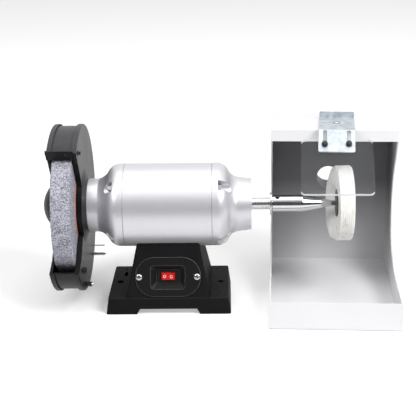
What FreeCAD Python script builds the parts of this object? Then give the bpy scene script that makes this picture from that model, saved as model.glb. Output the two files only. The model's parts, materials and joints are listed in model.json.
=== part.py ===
import FreeCAD, Part
import math
import os

# Dental polishing lathe with a grinding wheel, a tapered buff spindle and a free-standing hood.
# Millimetres. X runs along the shaft towards the buff, Y to the back, Z up from the bench.
# The origin lies on the bench under the middle of the lathe's base.

V = FreeCAD.Vector

# Gaps and overruns that many pieces share
seat_gap = 0.05
run_gap = 0.35
slide_gap = 0.1
cut_over = 1.0
touch = 0.001

# Motor shell and end bells
shaft_height = 107.55
motor_radius = 44.1
shell_wall = 3.0
seam_gap = 0.3
spigot_length = 4.0
bell_cavity_radius = 37.2
bell_web_x = 62.0
bell_web_radius = 24.0
shoulder_round = 13.5
shoulder_turn_deg = 60
bearing_x = 65.0
bearing_width = 11.0
bearing_radius = 17.5
bearing_race = 2.6
shield_inset = 0.6
shield_thickness = 0.8
neck_bore_gap = 0.9
bells = {
    "left": {"way": -1, "seam_x": 45.4, "shoulder_x": 50.5, "notch_x": 56.5,
             "flare_x": 65.6, "flare_radius": 32.7, "root_x": 73.0, "root_radius": 28.5,
             "end_x": 84.0, "end_radius": 28.3},
    "right": {"way": 1, "seam_x": 47.0, "shoulder_x": 52.3, "notch_x": 53.6,
              "flare_x": 67.5, "flare_radius": 32.4, "root_x": 73.5, "root_radius": 29.3,
              "end_x": 88.3, "end_radius": 27.4},
}

# Tie bolts that clamp both bells on the shell
tie_bolt_circle_radius = 37.0
tie_bolt_radius = 2.0
tie_bolt_angles = (45, 135, 225, 315)
tie_hole_gap = 0.3
tie_boss_radius = 7.6
notch_radius = 5.6
notch_outward = 1.4
tie_head_flats = 7.0
tie_head_height = 3.0
tie_end = 1.5

# Stator and rotor
stator_half = 30.0
stator_bore = 24.5
slot_count = 12
slot_width = 5.6
slot_depth = 7.5
winding_length = 11.0
winding_inner = 25.5
winding_outer = 33.0
winding_round = 3.0
rotor_half = 30.0
end_ring_length = 6.0
end_ring_inner = 16.5

# Shaft
shaft_radius = 6.35
thread_radius = 6.0
journal_radius = 7.5
core_radius = 9.0
core_half = 58.0
shaft_left_end = 129.6
shaft_right_end = 140.0
journal_right_end = 75.6

# Grinding wheel and its flanges
wheel_radius = 75.0
wheel_width = 20.0
wheel_right_x = -94.5
wheel_edge_round = 0.8
label_radius = 38.5
label_thickness = 0.6
flange_radius = 29.0
flange_rim_width = 7.0
flange_relief = 1.0
flange_rim_thickness = 1.7
flange_hub_radius = 14.0
flange_hub_thickness = 4.0
nut_flats = 19.0
nut_height = 7.4

# Wheel guard: two pressed pans, a band between them and a spark guard
guard_radius = 89.0
guard_drop = 2.3
guard_sheet = 1.2
guard_right_x = -88.5
guard_left_x = -119.0
right_rim_width = 5.2
left_rim_width = 5.2
rim_round = 1.8
band_radius = 87.0
boss_base_radius = 39.0
boss_top_radius = 28.0
boss_hole_radius = 13.0
dome_radius = 26.0
dome_height = 13.8
lip_depth = 3.7
cover_lip_depth = 1.8
opening_hub_radius = 37.0
opening_top_deg = 55.4
opening_low_deg = -39.5
opening_bend_radius = 67.0
opening_low_front_y = -73.2
opening_low_front_drop = 49.3
opening_round = 6.0
band_lip_depth = 4.0

# Fasteners of the guard
guard_screw_circle_radius = 19.5
guard_screw_radius = 2.0
guard_screw_head = 3.6
guard_screw_head_height = 1.6
guard_screw_length = 7.0
cover_bolt_radius = 1.75
cover_bolt_places = ((-19.3, -83.4), (41.0, -71.8))
cover_bolt_ends = (5.0, 11.8)
cover_bolt_head_radius = 3.6
cover_bolt_head_height = 2.4
cover_bolt_point = 2.4
cover_knob_radius = 2.6
cover_knob_neck = 2.3
cover_knob_length = 3.2
lock_pin_place = (52.0, -65.8)
lock_pin_radius = 0.8
lock_pin_end = 12.0
plate_screw_place = (-35.0, -61.1)
plate_screw_radius = 1.75
plate_screw_head = 2.9
plate_screw_head_height = 2.4
plate_screw_washer = 3.8
plate_screw_washer_thickness = 0.7

# Spark guard at the top of the opening
leaf_deg = 55.2
leaf_low_radius = 77.6
leaf_high_radius = 91.4
leaf_left_x = -119.4
leaf_slant = 1.6
leaf_hole_radius = 1.5
leaf_hole_from_top = 5.4
leaf_hole_shares = (0.32, 0.69)
ear_low_radius = 71.5
ear_high_radius = 81.0
ear_length = 15.0
ear_screw_radius = 76.2
ear_screw_back = 9.2

# Spindle for the buff
washer_x = 108.3
washer_radius = 12.0
washer_thickness = 1.9
mandrel_radius = 9.0
mandrel_cone_x = 143.0
mandrel_tip_x = 184.0
mandrel_tip_radius = 1.2
mandrel_end_gap = 2.0
mandrel_edge = 0.8
set_screw_x = 116.2
set_screw_deg = 64
set_screw_radius = 2.4
set_screw_sunk = 0.5
set_screw_socket = 1.3
set_screw_socket_depth = 1.4

# Cotton buff and its hub
buff_left_x = 179.3
buff_right_x = 195.3
buff_radius = 40.5
buff_rim_round = 3.5
buff_bulge = 7.6
buff_bulge_radius = 31.0
buff_bulge_shoulder = 38.0
buff_fold_radius = 20.0
buff_fold_share = 0.62
hub_left_x = 179.0
hub_right_x = 195.6
hub_radius = 14.5
hub_disc = 1.6
hub_core_radius = 6.0

# Pedestal
foot_height = 18.3
foot_half_x = 63.6
foot_flare = 2.6
foot_half_y = 45.5
foot_round = 2.5
block_half_x = 44.5
block_side_slope = 0.212
block_front_slope = 0.29
block_loft_top = 92.0
block_round = 3.0
pedestal_wall = 3.0
saddle_thickness = 5.0
pad_radius = 5.0
pad_thickness = 2.4
pad_x = 58.5
pad_y = 22.0
arch_half_x = 33.4
arch_slant = 3.2
arch_height = 6.05
anchor_hole_radius = 3.5
anchor_hole_x = 54.6
small_hole_radius = 1.5
small_hole_x = 51.1
small_hole_y = 35.8
slot_hole_x = -49.9
slot_hole_y = 21.7
slot_hole_width = 3.2
slot_hole_length = 12.0
saddle_bolt_x = 18.0
saddle_bolt_radius = 2.5
saddle_bolt_flats = 8.0
saddle_bolt_head = 3.5

# Bottom plate and what stands on it
bottom_plate_z = 8.0
bottom_plate_thickness = 1.5
bottom_plate_gap = 0.4
post_size = 9.0
bottom_screw_radius = 1.6
bottom_screw_head = 3.0
bottom_screw_head_height = 1.8
bottom_screw_length = 8.0
capacitor_radius = 14.0
capacitor_length = 46.0
capacitor_y = 14.0
capacitor_round = 2.0
clamp_width = 10.0
clamp_thickness = 1.0
clamp_foot = 7.0
terminal_length = 30.0
terminal_width = 9.0
terminal_height = 12.0
terminal_y = -14.0
terminal_count = 3
terminal_bore = 1.8
gland_radius = 6.5
gland_length = 9.0
gland_tip_radius = 4.2
gland_bore = 3.4
gland_height = 30.0
gland_nut_flats = 15.0
gland_nut_thickness = 3.0
gland_thread_radius = 5.0
gland_thread_end = 1.5
gland_collar = 3.0

# Switch plate, rocker switch and screws on the leaning front
switch_up = 22.7
switch_plate_half_x = 34.4
switch_plate_half_y = 20.8
switch_plate_round = 20.0
switch_plate_thickness = 1.0
pocket_half_x = 18.2
pocket_half_y = 12.6
pocket_round = 4.0
pocket_shift = (-0.3, -0.6)
pocket_floor_half_x = 12.4
pocket_floor_half_y = 6.9
pocket_floor_round = 2.0
pocket_depth = 5.0
pocket_wall = 1.0
switch_raise = 0.4
bezel_half_x = 11.2
bezel_half_y = 5.9
bezel_thickness = 1.4
bezel_round = 1.0
housing_half_x = 10.2
housing_half_y = 5.2
housing_depth = 14.0
housing_floor = 1.5
rocker_half_x = 7.5
rocker_half_y = 3.8
rocker_rise = 2.2
rocker_dip = 1.2
rocker_pivot_depth = 2.0
rocker_pin_radius = 0.9
rocker_pin_gap = 0.07
rocker_rest_deg = -8
plate_fixing_x = 30.6
plate_fixing_radius = 1.6
plate_fixing_head = 3.4
plate_fixing_head_height = 2.0
plate_fixing_length = 7.0
cross_width = 0.8
cross_depth = 1.1
cross_share = 0.6

# Hood, drawn from its own front left corner and then set down turned
hood_corner_x = 104.4
hood_corner_y = -84.2
hood_turn_deg = -3.13
hood_width = 135.4
hood_depth = 197.2
hood_head_room = 36.35
hood_top_fall = 5.7
hood_sheet = 1.5
hood_bend = 1.6
hood_panel_height = 30.3
hood_lip_y = 105.0
hood_lip_height = 13.9
hood_side_height = 28.6
hood_edge_flat_share = 0.335
hood_edge_shares = (((0.448, 0.168), (0.543, 0.2015)), ((0.624, 0.244), (0.677, 0.295)),
                    ((0.723, 0.410), (0.732, 0.503)), ((0.708, 0.638), (0.616, 0.7925)))
port_left_of_middle = 2.0
port_height = 103.3
port_radius = 14.5
port_wall = 1.5
port_length = 29.0
port_flange_radius = 20.0
port_flange_thickness = 1.5

# Bracket on the hood's top and the clear shield under its flange
bracket_half_x = 18.95
bracket_sheet = 1.5
bracket_top_length = 59.5
bracket_rear_lip = 8.0
bracket_flange_length = 30.9
bracket_flange_deg = 32
bracket_round = 2.0
bracket_off_middle = 2.8
bracket_fold_ahead = 10.4
bracket_screw_back = 24.1
bracket_turn_deg = -2.45
bracket_screw_radius = 2.0
bracket_screw_head = 3.8
bracket_screw_head_height = 2.2
bracket_nut_flats = 7.0
bracket_nut_height = 3.0
slot_half_x = 12.4
flange_slot_width = 4.4
flange_slot_top = 1.0
flange_slot_bottom = 23.5
shield_half_x = 36.8
shield_length = 74.0
shield_sheet = 3.0
shield_round = 5.0
shield_start = 12.25
shield_screw_along = 21.3
shield_turn_deg = 1.36
shield_screw_radius = 1.5
shield_screw_head = 3.2
shield_screw_head_height = 4.6
shield_nut_flats = 5.5
shield_nut_height = 2.4

# Places that follow from the sizes above
shell_inner = motor_radius - shell_wall
wheel_left_x = wheel_right_x - wheel_width
inner_flange_x = wheel_right_x + label_thickness
outer_flange_x = wheel_left_x - label_thickness
inner_shoulder_x = inner_flange_x + flange_hub_thickness
nut_x = outer_flange_x - flange_hub_thickness
band_right_x = guard_right_x - guard_sheet
band_left_x = guard_left_x + guard_sheet
guard_height = shaft_height - guard_drop
mandrel_x = washer_x + washer_thickness
mandrel_slope = (mandrel_radius - mandrel_tip_radius) / (mandrel_tip_x - mandrel_cone_x)
front_lean = math.atan(block_front_slope)
gland_wall = pedestal_wall * math.cos(front_lean)
pocket_floor_z = -pocket_depth
bezel_top_z = pocket_floor_z + bezel_thickness
rocker_pivot_z = bezel_top_z - rocker_pivot_depth
bottom_plate_top = bottom_plate_z + bottom_plate_thickness
hood_middle = hood_width / 2
hood_height = shaft_height + buff_radius + hood_head_room
hood_back_height = hood_height - hood_top_fall
top_lean = math.atan(hood_top_fall / (hood_depth - hood_lip_y))


def outline(steps, place):
    """Close a wire through points; a (via, end) pair of points adds an arc."""
    start = here = place(*steps[0])
    edges = []
    for step in steps[1:]:
        if isinstance(step[0], tuple):
            end = place(*step[1])
            edges.append(Part.Arc(here, place(*step[0]), end).toShape())
        else:
            end = place(*step)
            edges.append(Part.makeLine(here, end))
        here = end
    if here.distanceToPoint(start) > touch:
        edges.append(Part.makeLine(here, start))
    return Part.Wire(edges)


def turned(steps, height=shaft_height):
    """Turn an (x, radius) outline about the line along X at a height."""
    face = Part.Face(outline(steps, lambda x, radius: V(x, 0, height + radius)))
    return face.revolve(V(0, 0, height), V(1, 0, 0), 360)


def rod(x_from, x_to, radius, y=0, z=shaft_height):
    """A round bar along X."""
    return Part.makeCylinder(radius, x_to - x_from, V(x_from, y, z), V(1, 0, 0))


def slab(x_from, x_to, y_from, y_to, z_from, z_to):
    """A box between two corners."""
    return Part.makeBox(x_to - x_from, y_to - y_from, z_to - z_from, V(x_from, y_from, z_from))


def cut_across(steps, x_from, x_to):
    """Push a (y, z) outline along X."""
    face = Part.Face(outline(steps, lambda y, z: V(x_from, y, z)))
    return face.extrude(V(x_to - x_from, 0, 0))


def polar(radius, degrees):
    """A (y, z) place seen from the shaft: zero degrees points to the front, ninety up."""
    angle = math.radians(degrees)
    return (-radius * math.cos(angle), shaft_height + radius * math.sin(angle))


def hexagon(flats, length):
    """A hexagonal bar standing on the origin along Z."""
    corner = flats / 2 / math.cos(math.radians(30))
    points = [V(corner * math.cos(math.radians(60 * turn)), corner * math.sin(math.radians(60 * turn)), 0)
              for turn in range(6)]
    return Part.Face(Part.makePolygon(points + points[:1])).extrude(V(0, 0, length))


def hexagon_x(flats, x_from, x_to, y, z):
    """A hexagonal bar along X."""
    return set_down(hexagon(flats, x_to - x_from), V(x_from, y, z), V(0, 1, 0), V(0, 0, 1))


def set_down(shape, origin, right, up):
    """Place a shape so that its own x and y axes point right and up."""
    turn = FreeCAD.Rotation(right, up, right.cross(up), "ZXY")
    moved = shape.copy()
    moved.Placement = FreeCAD.Placement(origin, turn).multiply(moved.Placement)
    return moved


def rounded_wire(half_x, half_y, radius, z):
    """A rounded rectangle about the Z axis at height z."""
    corner = radius * (1 - math.cos(math.radians(45)))
    steps = [(radius - half_x, -half_y), (half_x - radius, -half_y),
             ((half_x - corner, corner - half_y), (half_x, radius - half_y)),
             (half_x, half_y - radius),
             ((half_x - corner, half_y - corner), (half_x - radius, half_y)),
             (radius - half_x, half_y),
             ((corner - half_x, half_y - corner), (-half_x, half_y - radius)),
             (-half_x, radius - half_y),
             ((corner - half_x, corner - half_y), (radius - half_x, -half_y))]
    return outline(steps, lambda x, y: V(x, y, z))


def rounded_block(half_x, half_y, radius, z_from, z_to):
    """A plate with rounded corners."""
    return Part.Face(rounded_wire(half_x, half_y, radius, z_from)).extrude(V(0, 0, z_to - z_from))


def tapered_block(low, high):
    """A ruled loft between two rounded rectangles."""
    return Part.makeLoft([rounded_wire(*low), rounded_wire(*high)], True, True)


def upright(x, y, radius, z_from, z_to):
    """A round bar along Z."""
    return Part.makeCylinder(radius, z_to - z_from, V(x, y, z_from))


def pan_screw(head, head_height, radius, length, crossed=False):
    """A domed screw standing on its seat at the origin, with its shank below."""
    steps = [(0, -length), (radius, -length), (radius, 0), (head, 0), (head, head_height / 2),
             ((head * math.cos(math.radians(35)), head_height * (1 + math.sin(math.radians(35))) / 2),
              (head * cross_share / 2, head_height)), (0, head_height)]
    face = Part.Face(outline(steps, lambda r, z: V(r, 0, z)))
    screw = face.revolve(V(0, 0, 0), V(0, 0, 1), 360)
    if crossed:
        reach = head * cross_share
        depth = head_height - cross_depth
        for half_x, half_y in ((reach, cross_width / 2), (cross_width / 2, reach)):
            screw = screw.cut(slab(-half_x, half_x, -half_y, half_y, depth, head_height + cut_over))
    return screw


def joined(shapes):
    """Fuse shapes that belong to one solid."""
    whole = shapes[0]
    for shape in shapes[1:]:
        whole = whole.fuse(shape)
    return whole.removeSplitter()


def motor_shell():
    left, right = -bells["left"]["seam_x"], bells["right"]["seam_x"]
    shell = rod(left + seam_gap / 2, right - seam_gap / 2, motor_radius).cut(rod(left, right, shell_inner))
    for x in (-saddle_bolt_x, saddle_bolt_x):
        shell = shell.cut(upright(x, 0, saddle_bolt_radius + seat_gap, 0, shaft_height))
    return shell


def tie_bars(x_from, x_to, radius):
    """Round bars along X at the four tie bolt places."""
    bars = []
    for degrees in tie_bolt_angles:
        y, z = polar(tie_bolt_circle_radius, degrees)
        bars.append(rod(x_from, x_to, radius, y, z))
    return bars


def notch(x_from, x_to, degrees):
    """A slot along X round a tie bolt, open to the outside."""
    middle = tie_bolt_circle_radius + notch_outward
    y, z = polar(middle, degrees)
    way_out = slab(x_from, x_to, -motor_radius - cut_over, -middle, -notch_radius, notch_radius)
    way_out.rotate(V(0, 0, 0), V(1, 0, 0), -degrees)
    way_out.translate(V(0, 0, shaft_height))
    return rod(x_from, x_to, notch_radius, y, z).fuse(way_out)


def end_bell(size):
    way = size["way"]
    half_turn = math.radians(shoulder_turn_deg / 2)
    whole_turn = math.radians(shoulder_turn_deg)
    bend_via = (size["shoulder_x"] + shoulder_round * math.sin(half_turn),
                motor_radius - shoulder_round * (1 - math.cos(half_turn)))
    bend_end = (size["shoulder_x"] + shoulder_round * math.sin(whole_turn),
                motor_radius - shoulder_round * (1 - math.cos(whole_turn)))
    spigot_x = size["seam_x"] - spigot_length
    spigot_radius = shell_inner - seat_gap
    face_x = size["seam_x"] + seam_gap / 2
    outside = [(spigot_x, 0), (spigot_x, spigot_radius), (face_x, spigot_radius), (face_x, motor_radius),
               (size["shoulder_x"], motor_radius), (bend_via, bend_end),
               ((size["flare_x"], size["flare_radius"]), (size["root_x"], size["root_radius"])),
               (size["end_x"], size["end_radius"]), (size["end_x"], 0)]
    inside = [(spigot_x - cut_over, 0), (spigot_x - cut_over, bell_cavity_radius),
              (size["shoulder_x"], bell_cavity_radius), (bell_web_x, bell_web_radius), (bell_web_x, 0)]

    def mirrored(steps):
        return [((step[0][0] * way, step[0][1]), (step[1][0] * way, step[1][1]))
                if isinstance(step[0], tuple) else (step[0] * way, step[1]) for step in steps]

    def along(x_from, x_to):
        return sorted((x_from * way, x_to * way))

    cavity = turned(mirrored(inside))
    for boss in tie_bars(*along(spigot_x - cut_over, bell_web_x + cut_over), tie_boss_radius):
        cavity = cavity.cut(boss)
    bell = turned(mirrored(outside)).cut(cavity)
    for degrees in tie_bolt_angles:
        bell = bell.cut(notch(*along(size["notch_x"], size["end_x"]), degrees))
    for hole in tie_bars(*along(0, size["end_x"]), tie_bolt_radius + tie_hole_gap):
        bell = bell.cut(hole)
    seat_end = bearing_x + bearing_width
    bell = bell.cut(rod(*along(bell_web_x - cut_over, seat_end), bearing_radius + seat_gap))
    hole_radius = (journal_radius if way < 0 else shaft_radius) + neck_bore_gap
    bell = bell.cut(rod(*along(seat_end - cut_over, size["end_x"] + cut_over), hole_radius))
    if way < 0:
        for y, z in guard_screw_places():
            x_from, x_to = along(size["end_x"] - guard_screw_length - cut_over, size["end_x"] + cut_over)
            bell = bell.cut(rod(x_from, x_to, guard_screw_radius + seat_gap, y, z))
    return bell


def guard_screw_places():
    return [polar(guard_screw_circle_radius, degrees) for degrees in tie_bolt_angles]


def tie_bolts():
    left = -bells["left"]["notch_x"] - tie_head_height - tie_end
    right = bells["right"]["notch_x"]
    bolts = []
    for shank, degrees in zip(tie_bars(left, right, tie_bolt_radius), tie_bolt_angles):
        y, z = polar(tie_bolt_circle_radius, degrees)
        bolts.append(joined([shank, hexagon_x(tie_head_flats, right, right + tie_head_height, y, z)]))
    return Part.makeCompound(bolts)


def tie_nuts():
    seat = -bells["left"]["notch_x"]
    nuts = []
    for hole, degrees in zip(tie_bars(-shaft_left_end, 0, tie_bolt_radius + seat_gap), tie_bolt_angles):
        y, z = polar(tie_bolt_circle_radius, degrees)
        nuts.append(hexagon_x(tie_head_flats, seat - tie_head_height, seat, y, z).cut(hole))
    return Part.makeCompound(nuts)


def stator_core():
    core = rod(-stator_half, stator_half, shell_inner - seat_gap)
    reach = stator_half + cut_over
    core = core.cut(rod(-reach, reach, stator_bore))
    for turn in range(slot_count):
        slot = slab(-reach, reach, 0, stator_bore + slot_depth, -slot_width / 2, slot_width / 2)
        slot.rotate(V(0, 0, 0), V(1, 0, 0), turn * 360 / slot_count)
        slot.translate(V(0, 0, shaft_height))
        core = core.cut(slot)
    for hole in tie_bars(-reach, reach, tie_bolt_radius + tie_hole_gap):
        core = core.cut(hole)
    return core


def stator_windings():
    """The two rings of coil ends that stand out of the stator core."""
    rings = []
    for way in (-1, 1):
        near, far = stator_half * way, (stator_half + winding_length) * way
        bend = winding_round * way
        rings.append(turned([(near, winding_inner), (far - bend, winding_inner),
                             (far, winding_inner + winding_round), (far, winding_outer - winding_round),
                             (far - bend, winding_outer), (near, winding_outer)]))
    return Part.makeCompound(rings)


def rotor_core():
    outer = stator_bore - run_gap
    ring_outer = outer - end_ring_length / 2
    steps = [(-rotor_half - end_ring_length, end_ring_inner), (-rotor_half - end_ring_length, ring_outer),
             (-rotor_half, outer), (rotor_half, outer), (rotor_half + end_ring_length, ring_outer),
             (rotor_half + end_ring_length, end_ring_inner), (rotor_half, end_ring_inner),
             (rotor_half, core_radius + seat_gap), (-rotor_half, core_radius + seat_gap),
             (-rotor_half, end_ring_inner)]
    return turned(steps)


def bearing_rings(outer, inner):
    rings = []
    for x in (bearing_x, -bearing_x - bearing_width):
        ring = rod(x, x + bearing_width, outer)
        rings.append(ring.cut(rod(x - cut_over, x + bearing_width + cut_over, inner)))
    return Part.makeCompound(rings)


def bearing_outer_rings():
    return bearing_rings(bearing_radius, bearing_radius - bearing_race)


def bearing_inner_rings():
    return bearing_rings(journal_radius + seat_gap + bearing_race, journal_radius + seat_gap)


def bearing_seals():
    """Sealing discs that close both faces of each bearing."""
    outer = bearing_radius - bearing_race - seat_gap
    inner = journal_radius + seat_gap + bearing_race + run_gap
    seals = []
    for start in (bearing_x, -bearing_x - bearing_width):
        for x in (start + shield_inset, start + bearing_width - shield_inset - shield_thickness):
            seal = rod(x, x + shield_thickness, outer)
            seals.append(seal.cut(rod(x - cut_over, x + shield_thickness + cut_over, inner)))
    return Part.makeCompound(seals)


def shaft():
    steps = [(-shaft_left_end, 0), (-shaft_left_end, thread_radius), (outer_flange_x, thread_radius),
             (outer_flange_x, shaft_radius), (inner_shoulder_x, shaft_radius),
             (inner_shoulder_x, journal_radius), (-core_half, journal_radius), (-core_half, core_radius),
             (core_half, core_radius), (core_half, journal_radius), (journal_right_end, journal_radius),
             (journal_right_end, shaft_radius), (shaft_right_end, shaft_radius), (shaft_right_end, 0)]
    return turned(steps)


def wheel_flange(way, face_x, bore):
    """A relieved clamping flange; way points from the wheel outwards."""
    rim_inner = flange_radius - flange_rim_width
    hub_x = face_x + way * flange_hub_thickness
    relief_x = face_x + way * flange_relief
    steps = [(face_x, rim_inner), (face_x, flange_radius),
             (face_x + way * flange_rim_thickness, flange_radius), (hub_x, flange_hub_radius), (hub_x, bore),
             (relief_x, bore), (relief_x, rim_inner)]
    return turned(steps)


def wheel_flange_inner():
    return wheel_flange(1, inner_flange_x, shaft_radius + seat_gap)


def wheel_flange_outer():
    return wheel_flange(-1, outer_flange_x, thread_radius + seat_gap)


def wheel_nut():
    nut = hexagon_x(nut_flats, nut_x - nut_height, nut_x, 0, shaft_height)
    return nut.cut(rod(-shaft_left_end - cut_over, 0, thread_radius + seat_gap))


def grinding_wheel():
    bore = shaft_radius + seat_gap
    bevel = wheel_edge_round
    return turned([(wheel_left_x, bore), (wheel_left_x, wheel_radius - bevel),
                   (wheel_left_x + bevel, wheel_radius), (wheel_right_x - bevel, wheel_radius),
                   (wheel_right_x, wheel_radius - bevel), (wheel_right_x, bore)])


def wheel_labels():
    """The paper blotters that lie between the wheel and its flanges."""
    labels = []
    for x in (wheel_left_x - label_thickness, wheel_right_x):
        label = rod(x, x + label_thickness, label_radius)
        labels.append(label.cut(rod(x - cut_over, x + label_thickness + cut_over, shaft_radius + seat_gap)))
    return Part.makeCompound(labels)


def opening_wire(x):
    """The outline of the guard's front opening, drawn at x and open past the rim."""
    far = guard_radius + guard_drop + opening_round
    middle_deg = (opening_top_deg + opening_low_deg) / 2
    low_front = (opening_low_front_y, shaft_height - opening_low_front_drop)
    steps = [polar(opening_hub_radius, opening_top_deg),
             (polar(opening_hub_radius, middle_deg), polar(opening_hub_radius, opening_low_deg)),
             polar(opening_bend_radius, opening_low_deg), low_front, (-far, low_front[1]),
             (-far, shaft_height + far),
             polar(far / math.cos(math.radians(90 - opening_top_deg)), opening_top_deg)]
    return outline(steps, lambda y, z: V(x, y, z))


def opening_block(x_from, x_to):
    """What the opening takes out, with its two inner corners rounded."""
    block = Part.Face(opening_wire(x_from)).extrude(V(x_to - x_from, 0, 0))
    corners = []
    for radius, degrees in ((opening_hub_radius, opening_top_deg), (opening_bend_radius, opening_low_deg)):
        y, z = polar(radius, degrees)
        for edge in block.Edges:
            ends = [vertex.Point for vertex in edge.Vertexes]
            if all(abs(end.y - y) < touch and abs(end.z - z) < touch for end in ends):
                corners.append(edge)
    return block.makeFillet(opening_round, corners)


def opening_lip(x_from, x_to, inner_radius):
    """A lip that follows the opening's edge between two planes, inside the rim."""
    block = opening_block(x_from, x_to)
    wider = block.Faces[0]
    for face in block.Faces:
        if abs(face.CenterOfMass.x - x_from) < touch:
            wider = face
    grown = wider.OuterWire.makeOffset2D(guard_sheet)
    lip = Part.Face(grown).extrude(V(x_to - x_from, 0, 0)).cut(block)
    return lip.common(rod(x_from, x_to, inner_radius, 0, guard_height))


def pan(face_x, way, rim_width):
    """A pressed disc whose rim is turned over; way points from its face inwards."""
    inner = guard_radius - guard_sheet
    corner = rim_round * (1 - math.cos(math.radians(45)))
    steps = [(face_x, 0), (face_x, guard_radius - rim_round),
             ((face_x + way * corner, guard_radius - corner), (face_x + way * rim_round, guard_radius)),
             (face_x + way * rim_width, guard_radius), (face_x + way * rim_width, inner),
             (face_x + way * rim_round, inner), (face_x + way * guard_sheet, guard_radius - rim_round),
             (face_x + way * guard_sheet, 0)]
    return turned(steps, guard_height)


def guard_inner_plate():
    neck_x = -bells["left"]["end_x"]
    lean = guard_sheet / 2
    back_x = guard_right_x - guard_sheet
    disc = pan(guard_right_x, -1, right_rim_width)
    disc = disc.cut(rod(back_x - cut_over, guard_right_x + cut_over, boss_base_radius))
    boss = turned([(guard_right_x, boss_base_radius), (neck_x, boss_top_radius), (neck_x, boss_hole_radius),
                   (neck_x - guard_sheet, boss_hole_radius), (neck_x - guard_sheet, boss_top_radius - lean),
                   (back_x, boss_base_radius)])
    plate = joined([disc, boss]).cut(opening_block(guard_left_x, neck_x + cut_over))
    lip = opening_lip(back_x - lip_depth, guard_right_x - touch, band_radius - guard_sheet - seat_gap)
    boss_space = turned([(guard_right_x, 0), (guard_right_x, boss_base_radius), (neck_x, boss_top_radius),
                         (neck_x, 0)])
    slope_lip = opening_lip(guard_right_x - guard_sheet, neck_x - guard_sheet, boss_base_radius * 2)
    plate = joined([plate, lip, slope_lip.common(boss_space)])
    plate = plate.cut(ear_block(band_right_x - guard_sheet - run_gap, band_right_x, run_gap))
    for y, z in guard_screw_places():
        plate = plate.cut(rod(neck_x - guard_sheet - cut_over, neck_x + cut_over,
                              guard_screw_radius + seat_gap, y, z))
    for (y, drop), radius in guard_hole_places():
        plate = plate.cut(rod(back_x - cut_over, guard_right_x + cut_over, radius + seat_gap, y,
                              shaft_height + drop))
    y, z = ear_screw_place()
    return plate.cut(rod(back_x - cut_over, guard_right_x + cut_over, plate_screw_radius + seat_gap, y, z))


def guard_hole_places():
    places = [(place, cover_bolt_radius) for place in cover_bolt_places]
    places.append((lock_pin_place, lock_pin_radius))
    places.append((plate_screw_place, plate_screw_radius))
    return places


def guard_band():
    band = rod(band_left_x, band_right_x, band_radius, 0, guard_height)
    band = band.cut(rod(guard_left_x, guard_right_x, band_radius - guard_sheet, 0, guard_height))
    band = band.cut(opening_block(guard_left_x - cut_over, guard_right_x + cut_over))
    level = shaft_height - opening_low_front_drop
    lip_left = band_left_x + cover_lip_depth + guard_sheet + run_gap
    lip_right = band_right_x - lip_depth - run_gap
    lip = slab(lip_left, lip_right, -band_radius, opening_low_front_y + band_lip_depth,
               level - guard_sheet, level)
    lip = lip.common(rod(lip_left, lip_right, band_radius, 0, guard_height))
    return joined([band, lip])


def guard_cover():
    ball = (dome_radius ** 2 + dome_height ** 2) / (2 * dome_height)
    centre_x = guard_left_x - dome_height + ball
    inner_ball = ball - guard_sheet
    inner_edge = math.sqrt(inner_ball ** 2 - (centre_x - band_left_x) ** 2)
    half_out = math.asin(dome_radius / ball) / 2
    half_in = math.asin(inner_edge / inner_ball) / 2
    disc = pan(guard_left_x, 1, left_rim_width)
    disc = disc.cut(rod(guard_left_x - cut_over, band_left_x + cut_over, dome_radius))
    dome = turned([(guard_left_x, dome_radius),
                   ((centre_x - ball * math.cos(half_out), ball * math.sin(half_out)), (centre_x - ball, 0)),
                   (centre_x - inner_ball, 0),
                   ((centre_x - inner_ball * math.cos(half_in), inner_ball * math.sin(half_in)),
                    (band_left_x, inner_edge)), (band_left_x, dome_radius)])
    cover = joined([disc, dome]).cut(opening_block(guard_left_x - cut_over, guard_right_x))
    lip = opening_lip(guard_left_x + touch, band_left_x + cover_lip_depth,
                      band_radius - guard_sheet - seat_gap)
    cover = joined([cover, lip]).cut(ear_block(band_left_x, band_left_x + guard_sheet + run_gap, run_gap))
    y, z = ear_screw_place()
    cover = cover.cut(rod(guard_left_x - cut_over, band_left_x + cut_over,
                          plate_screw_radius + seat_gap, y, z))
    for (y, drop), radius in guard_hole_places()[:-1]:
        cover = cover.cut(rod(guard_left_x - cut_over, band_left_x + cut_over, radius + seat_gap, y,
                              shaft_height + drop))
    return cover


def guard_mounting_screws():
    """Screws through the inner plate's boss into the left end bell."""
    seat = -bells["left"]["end_x"] - guard_sheet
    screws = []
    for y, z in guard_screw_places():
        shank = rod(seat, seat + guard_sheet + guard_screw_length, guard_screw_radius, y, z)
        screws.append(joined([shank, rod(seat - guard_screw_head_height, seat, guard_screw_head, y, z)]))
    return Part.makeCompound(screws)


def guard_cover_bolts():
    """Two long bolts that draw the cover, band and inner plate together, and a thin locking pin."""
    bolts = []
    for (y, drop), end in zip(cover_bolt_places, cover_bolt_ends):
        z = shaft_height + drop
        tip = guard_right_x + end
        head_x = guard_left_x - cover_bolt_head_height
        point = Part.makeCone(cover_bolt_radius, cover_bolt_radius / 3, cover_bolt_point, V(tip, y, z),
                              V(1, 0, 0))
        shank = rod(guard_left_x, tip, cover_bolt_radius, y, z)
        bolts.append(joined([shank, rod(head_x, guard_left_x, cover_bolt_head_radius, y, z), point]))
    y, drop = lock_pin_place
    head_x = guard_left_x - lock_pin_radius
    pin = rod(guard_left_x, guard_right_x + lock_pin_end, lock_pin_radius, y, shaft_height + drop)
    head = rod(head_x, guard_left_x, lock_pin_radius * 2, y, shaft_height + drop)
    bolts.append(joined([pin, head]))
    return Part.makeCompound(bolts)


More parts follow.
